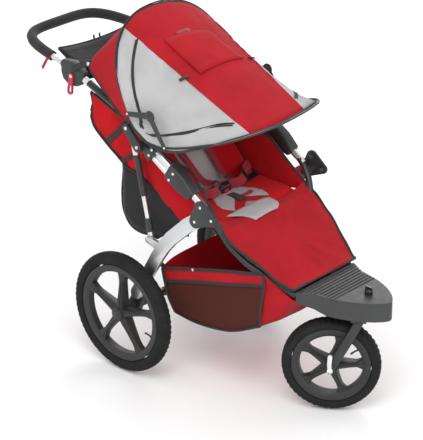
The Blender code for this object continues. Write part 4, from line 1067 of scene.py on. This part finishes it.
def harness():
    """Five-point harness: buckle, shoulder straps, waist straps with slider, and crotch strap."""
    soften("harness_buckle", "gloss", 0.003).name = "buckle_body"
    normal = Vector((0, -0.72, 0.69))
    for word, side in SIDES.items():
        path = spline([(side * 0.030, -0.026, 0.598), (side * 0.046, 0.012, 0.606), (side * 0.052, 0.060, 0.648), (side * 0.055,
                0.120, 0.706), (side * 0.058, 0.180, 0.764)], 8)
        strap(f"shoulder_strap_{word}", path, 0.024, "red_web", "backrest", tuple(normal), 0.002)
        waist = spline([(side * 0.024, -0.038, 0.583), (side * 0.062, -0.048, 0.585), (side * 0.100, -0.035, 0.590),
                (side * 0.140, -0.004, 0.593), (side * 0.176, 0.010, 0.592)], 8)
        strap(f"waist_strap_{word}", waist, 0.030, "red_web", "frame", (0, -0.85, 0.5), 0.002)
        slider = [(side * 0.094, -0.0390, 0.5915), (side * 0.106, -0.0330, 0.5925)]
        strap(f"waist_slider_{word}", slider, 0.040, "gloss", "frame", (0, -0.85, 0.5), 0.007)
        loop = [Vector((side * 0.032 + 0.013 * math.cos(a), -0.030 + 0.004 * math.sin(a),
                0.598 + 0.011 * math.sin(a))) for a in [2 * math.pi * k / 20 for k in range(21)]]
        rod(f"shoulder_ring_{word}", loop, 0.0028, "gloss", "frame", 8)
    crotch = spline([(0, -0.038, 0.560), (0, -0.046, 0.556), (0.000, -0.062, 0.5665), (0.0, -0.090, 0.5660), (0, -0.118,
            0.5655)], 8)
    strap("crotch_strap", crotch, 0.030, "black_web", "frame", (0, 0, 1), 0.0022)
    strap("crotch_tab", spline([(0.012, -0.100, 0.568), (0.036, -0.104, 0.5695), (0.058, -0.100, 0.5705)], 6), 0.016, "red_web",
            "frame", (0, 0, 1), 0.002)


# ---------------------------------------------------------------- basket
def basket():
    """Basket of red bands and dark net with black binding."""
    high = [(0.220, 0.024, 0.362), (0.205, -0.100, 0.392), (0.194, -0.235, 0.424), (0.180, -0.352, 0.447)]
    mid = [(0.222, 0.012, 0.322), (0.206, -0.105, 0.350), (0.196, -0.240, 0.382), (0.180, -0.356, 0.410)]
    low = [(0.205, -0.016, 0.2165), (0.200, -0.110, 0.2065), (0.188, -0.230, 0.2175), (0.166, -0.330, 0.2580)]
    count = 30

    def run(points):
        return evenly(spline(points, 8), count)

    upper, middle, lower = run(high), run(mid), run(low)
    for word, side in SIDES.items():
        flip = Matrix.Diagonal((side, 1, 1))
        band = [[flip @ a.lerp(b, r / 4) for a, b in zip(upper, middle)] for r in range(5)]
        cloth(f"basket_band_{word}", band, "red", "frame", 0.0016, ripple=lambda p: 0.0016 * noise_at(p, 20, 3.0))
        wall = []
        for r in range(11):
            t = r / 10
            wall.append([flip @ (a.lerp(b, t) + Vector((0.007 * math.sin(math.pi * t), 0, 0))) for a, b in zip(middle, lower)])
        wall_cloth = cloth(f"basket_net_{word}", wall, "net", "frame", 0.0014, ripple=lambda p: 0.003 * noise_at(p,
                10, 6.0))
        if side < 0:
            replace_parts(wall_cloth, "basket")
        bm = bmesh.new()
        for line, width in ((upper, 0.010), (middle, 0.010), (lower, 0.006)):
            strap_mesh(bm, [flip @ (p + Vector((0.0016, 0, 0))) for p in line], width, 0.0028, (side, 0, 0.05))
        for a, b, c in ((upper[0], middle[0], lower[0]), (upper[-1], middle[-1], lower[-1])):
            strap_mesh(bm, [flip @ (p + Vector((0.0016, 0, 0))) for p in spline([a, b, b.lerp(c, 0.5) + Vector((0.006, 0, 0)), c],
                    6)], 0.009, 0.0028, (side, 0, 0))
        add(f"basket_binding_{word}", mesh_of(bm, "binding"), "black_web", "frame")
        bm = bmesh.new()
        hang = [flip @ Vector(p) for p in ((0.214, 0.020, 0.364), (0.226, 0.045, 0.385), (0.238, 0.052, 0.398))]
        strap_mesh(bm, hang, 0.020, 0.002, (side, 0, 0))
        add(f"basket_hanger_{word}", mesh_of(bm, "hanger"), "black_web", "frame")

    floor_rows = []
    for point in lower:
        floor_rows.append([Vector((point.x * s, point.y, point.z - 0.004 * (1 - s * s))) for s in [-1 + i / 12 for i in range(25)]])
    cloth("basket_floor", floor_rows, "red_seat", "frame", 0.0018, ripple=lambda p: 0.002 * noise_at(p, 12, 5.0))
    nose_top, nose_low = Vector((0.140, -0.440, 0.372)), Vector((0.128, -0.372, 0.279))
    rows = []
    for r in range(12):
        t = r / 11
        corner_high, corner_low = upper[-1], lower[-1]
        side_point = corner_high.lerp(corner_low, t)
        front_point = nose_top.lerp(nose_low, t)
        line = [Vector((-side_point.x, side_point.y, side_point.z))]
        for s in (-1.0, -0.9, -0.75, -0.5, -0.25, 0.0, 0.25, 0.5, 0.75, 0.9, 1.0):
            line.append(Vector((front_point.x * s, front_point.y - 0.006 * (1 - s * s), front_point.z)))
        line.append(Vector((side_point.x, side_point.y, side_point.z)))
        rows.append(evenly(line, 41))
    cloth("basket_front", rows, "red", "frame", 0.0016, ripple=lambda p: 0.0022 * noise_at(p, 15, 11.0))
    rear_rows = []
    for r in range(10):
        t = r / 9
        p = upper[0].lerp(lower[0], t)
        rear_rows.append([Vector((p.x * s, p.y + 0.010 * (1 - s * s),
                p.z + 0.018 * (1 - s ** 8) * (1 - t))) for s in [-1 + i / 14 for i in range(29)]])
    cloth("basket_rear", rear_rows, "red_seat", "frame", 0.0016, ripple=lambda p: 0.002 * noise_at(p, 13, 4.0))
    rivets("basket_snaps", [((-0.2085, -0.0911, 0.3880), (-1, 0, 0.1))], "frame", 0.0050, 0.002)
    strap("basket_inner_strap", spline([(0.082, 0.024, 0.350), (0.112, 0.018, 0.290), (0.135, 0.004, 0.232), (0.140, -0.030,
            0.222)], 6), 0.030,
          "black_web", "frame", (0, -1, 0.2), 0.002)


# ---------------------------------------------------------------- handle, trim and rivets
def handle_details():
    rows = []
    for r in range(9):
        t = r / 8
        y = 0.345 + 0.150 * t
        line = []
        for i in range(25):
            s = -1 + i / 12
            z = 0.928 + 0.032 * t - 0.015 * (1 - s * s) - 0.008 * math.sin(math.pi * t)
            line.append(Vector((s * (0.186 - 0.006 * t), y, z)))
        rows.append(line)
    console = cloth("console_cloth", rows, "black", "handle_frame", 0.003, ripple=lambda p: 0.003 * noise_at(p, 12,
            2.0))
    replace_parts(console, "handle_console")
    back = []
    for r in range(7):
        t = r / 6
        back.append([Vector(((-1 + i / 12) * (0.186 - 0.006 * t), 0.495 - 0.125 * t,
                0.960 - 0.071 * t - 0.015 * (1 - (-1 + i / 12) ** 2))) for i in range(25)])
    cloth("console_pocket", back, "black", "handle_frame", 0.003, ripple=lambda p: 0.003 * noise_at(p, 12, 6.0))
    rod("console_binding", [Vector((s * 0.181, 0.4965, 0.9615 - 0.015 * (1 - s * s))) for s in [-1 + i / 12 for i in range(25)]],
            0.0034, "black_web", "handle_frame", 8)
    bm = bmesh.new()
    for x in (-0.015, 0.011):
        strap_mesh(bm, spline([(x + 0.005, 0.500, 0.934), (x + 0.003, 0.505, 0.941), (x, 0.506, 0.950), (x - 0.002, 0.504,
                0.959)], 5), 0.006, 0.003, (0, 1, 0))
    add("console_clip", mesh_of(bm, "clip"), "gloss", "handle_frame")
    ribbon = spline([(-0.203, 0.506, 0.944), (-0.211, 0.516, 0.932), (-0.2125, 0.528, 0.912), (-0.2115, 0.542, 0.891)], 6)
    strap("grip_ribbon", ribbon, 0.011, "red_web", "handle_frame", (-1, 0.2, 0.1))
    for word, side in SIDES.items():
        x = side * 0.2205
        spots = [((x, 0.330, 0.9275), (side, 0, 0.2))] if side < 0 else []
        spots += [((side * 0.2222, 0.3260, 0.9625), (side, 0.0, 0.3))]
        rivets(f"handle_snap_{word}", spots[-1:], "handle_frame", 0.0062, 0.003)
        bm = bmesh.new()
        strap_mesh(bm, spline([(side * 0.2180, 0.314, 0.9685), (side * 0.2208, 0.328, 0.962), (side * 0.2218, 0.345, 0.9545),
                (side * 0.2222, 0.371, 0.9425), (side * 0.2222, 0.399, 0.9250)], 6), 0.020, 0.0022, (side, 0, 0.15))
        add(f"handle_tab_{word}", mesh_of(bm, "tab"), "black_web", "handle_frame")
    bm = bmesh.new()
    dome(bm, (-0.2268, 0.400, 0.904), (-1, 0, 0), 0.0058, 0.0022)
    add("brake_lever_rivet", mesh_of(bm, "cap"), "steel", "brake_lever")


def all_rivets():
    for word, side in SIDES.items():
        n = (side, 0, 0)
        rivets(f"link_rivets_{word}", [((side * 0.2624, 0.132, 0.813), n), ((side * 0.2624, 0.087, 0.762), n)],
                "handle_frame", 0.0062)
        rivets(f"hub_rivets_{word}", [((side * 0.2659, y, z), n) for y, z in ((-0.175, 0.641), (-0.152, 0.588), (-0.219, 0.611))],
                "frame", 0.0052)
        rivets(f"housing_rivets_{word}", [((side * 0.2519, y, z), n) for y, z in ((-0.0528, 0.7115), (-0.0355, 0.6873))],
                "frame", 0.0050)
        rivets(f"fitting_rivets_{word}", [((side * 0.2494, y, z), n) for y, z in ((0.0359, 0.7646), (0.0487, 0.7435))],
                "frame", 0.0050)
        rivets(f"brace_rivets_{word}", [((side * 0.2703, *BRACE_REAR), n)], f"brace_rear_{word}", 0.0040, 0.0020)
        rivets(f"brace_end_{word}", [((side * 0.2736, *BRACE_FRONT), n)], f"brace_front_{word}", 0.0040, 0.0018)
        rod(f"strut_silver_{word}", [Vector((side * 0.238, *strut_at(0.270))), Vector((side * 0.238, *strut_at(0.338)))], 0.0100,
                "silver", f"strut_{word}", 16)
        rod(f"side_tube_silver_{word}", [Vector((side * 0.2109, 0.3520, 0.9009)), Vector((side * 0.2113, 0.334, 0.8938))], 0.0117,
                "silver", "handle_frame", 16)
        neck = spline([(side * 0.232, -0.1226, 0.6526), (side * 0.232, -0.145, 0.6385), (side * 0.2322, -0.165, 0.6255)], 5)
        rod(f"rail_neck_{word}", neck, 0.0118, "silver", "frame", 16)
        ring = [Vector((side * 0.238, *strut_at(0.066))), Vector((side * 0.238, *strut_at(0.022)))]
        rod(f"strut_cuff_{word}", ring, [0.0102, 0.0112], "plastic", f"strut_{word}", 16)
    rod("lower_crossbar_cover", [Vector((x, 0.132, 0.200)) for x in (-0.10, 0.10)], 0.0148, "plastic", "rear_frame",
            18)


def tapered_plate(name, ends, radii, faces, side, material, body):
    """A flat link with round ends of two sizes, and rounded edges."""
    start, end = Vector(ends[0]), Vector(ends[1])
    forward = (end - start).normalized()
    across = Vector((-forward.y, forward.x))
    outline = []
    for centre, radius, lean in ((start, radii[0], -1), (end, radii[1], 1)):
        for k in range(13):
            turn = math.pi * (k / 12 - 0.5)
            outline.append(centre + forward * (radius * lean * math.cos(turn)) + across * (radius * lean * -math.sin(turn)))
    bm = bmesh.new()
    layers = [[bm.verts.new((side * x, p.x, p.y)) for p in outline] for x in faces]
    count = len(outline)
    for k in range(count):
        bm.faces.new((layers[0][k], layers[0][(k + 1) % count], layers[1][(k + 1) % count], layers[1][k]))
    bm.faces.new(layers[0][::-1])
    bm.faces.new(layers[1])
    obj = add(name, mesh_of(bm, name), material, body)
    edge = obj.modifiers.new("edges", "BEVEL")
    edge.width, edge.segments, edge.limit_method, edge.angle_limit = 0.0010, 2, "ANGLE", math.radians(50)
    return obj


BRACE_REAR, BRACE_KNEE, BRACE_FRONT = (0.1165, 0.867), (0.0210, 0.8835), (-0.0380, 0.7985)


def braces():
    """The canopy's folding braces: two tapered arms and a round knee on each side."""
    for word, side in SIDES.items():
        rear = tapered_plate(f"brace_rear_plate_{word}", (BRACE_REAR, BRACE_KNEE), (0.0075, 0.0110), (0.2680, 0.2705), side,
                "plastic",
                             f"brace_rear_{word}")
        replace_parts(rear, f"brace_rear_arm_{word}")
        front = tapered_plate(f"brace_front_plate_{word}", (BRACE_FRONT, BRACE_KNEE), (0.0070, 0.0110), (0.2710, 0.2738), side,
                "plastic",
                              f"brace_front_{word}")
        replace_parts(front, f"brace_front_arm_{word}")
        bm = bmesh.new()
        dome(bm, (side * 0.2700, *BRACE_KNEE), (side, 0, 0), 0.0180, 0.0062, 28)
        add(f"brace_knee_disc_{word}", mesh_of(bm, "disc"), "plastic", f"brace_front_{word}")


def strut_at(distance):
    ball, top = Vector((0.051, 0.462)), Vector((0.132, 0.813))
    return ball + (top - ball).normalized() * distance


def footplate_details():
    soften("footplate", "grey_plastic", 0.0085, 4)
    bm = bmesh.new()
    for i in range(9):
        y = -0.455 - 0.0130 * i
        half = (0.125 - 0.25 * (-0.445 - y)) if y > -0.50 else 0.100 - 0.08 * (-0.50 - y)
        rod_mesh(bm, [(-half, y, 0.4018), (-half + 0.004, y, 0.4028), (half - 0.004, y, 0.4028), (half, y, 0.4018)], 0.0020, 8)
    add("footplate_ribs", mesh_of(bm, "ribs"), "grey_plastic", "frame")
    soften("swivel_knob", "gloss", 0.0010)
    soften("fork", "plastic", 0.0022)
    soften("quick_release_lever", "silver", 0.0012)
    soften("parking_brake_lever", "red_plastic", 0.0018, 3)


def main():
    stage()
    finish_nodes()
    wheels()
    canopy()
    rear_panel()
    leg_rest()
    front_rails()
    seat()
    pocket()
    harness()
    basket()
    handle_details()
    all_rivets()
    braces()
    footplate_details()


main()
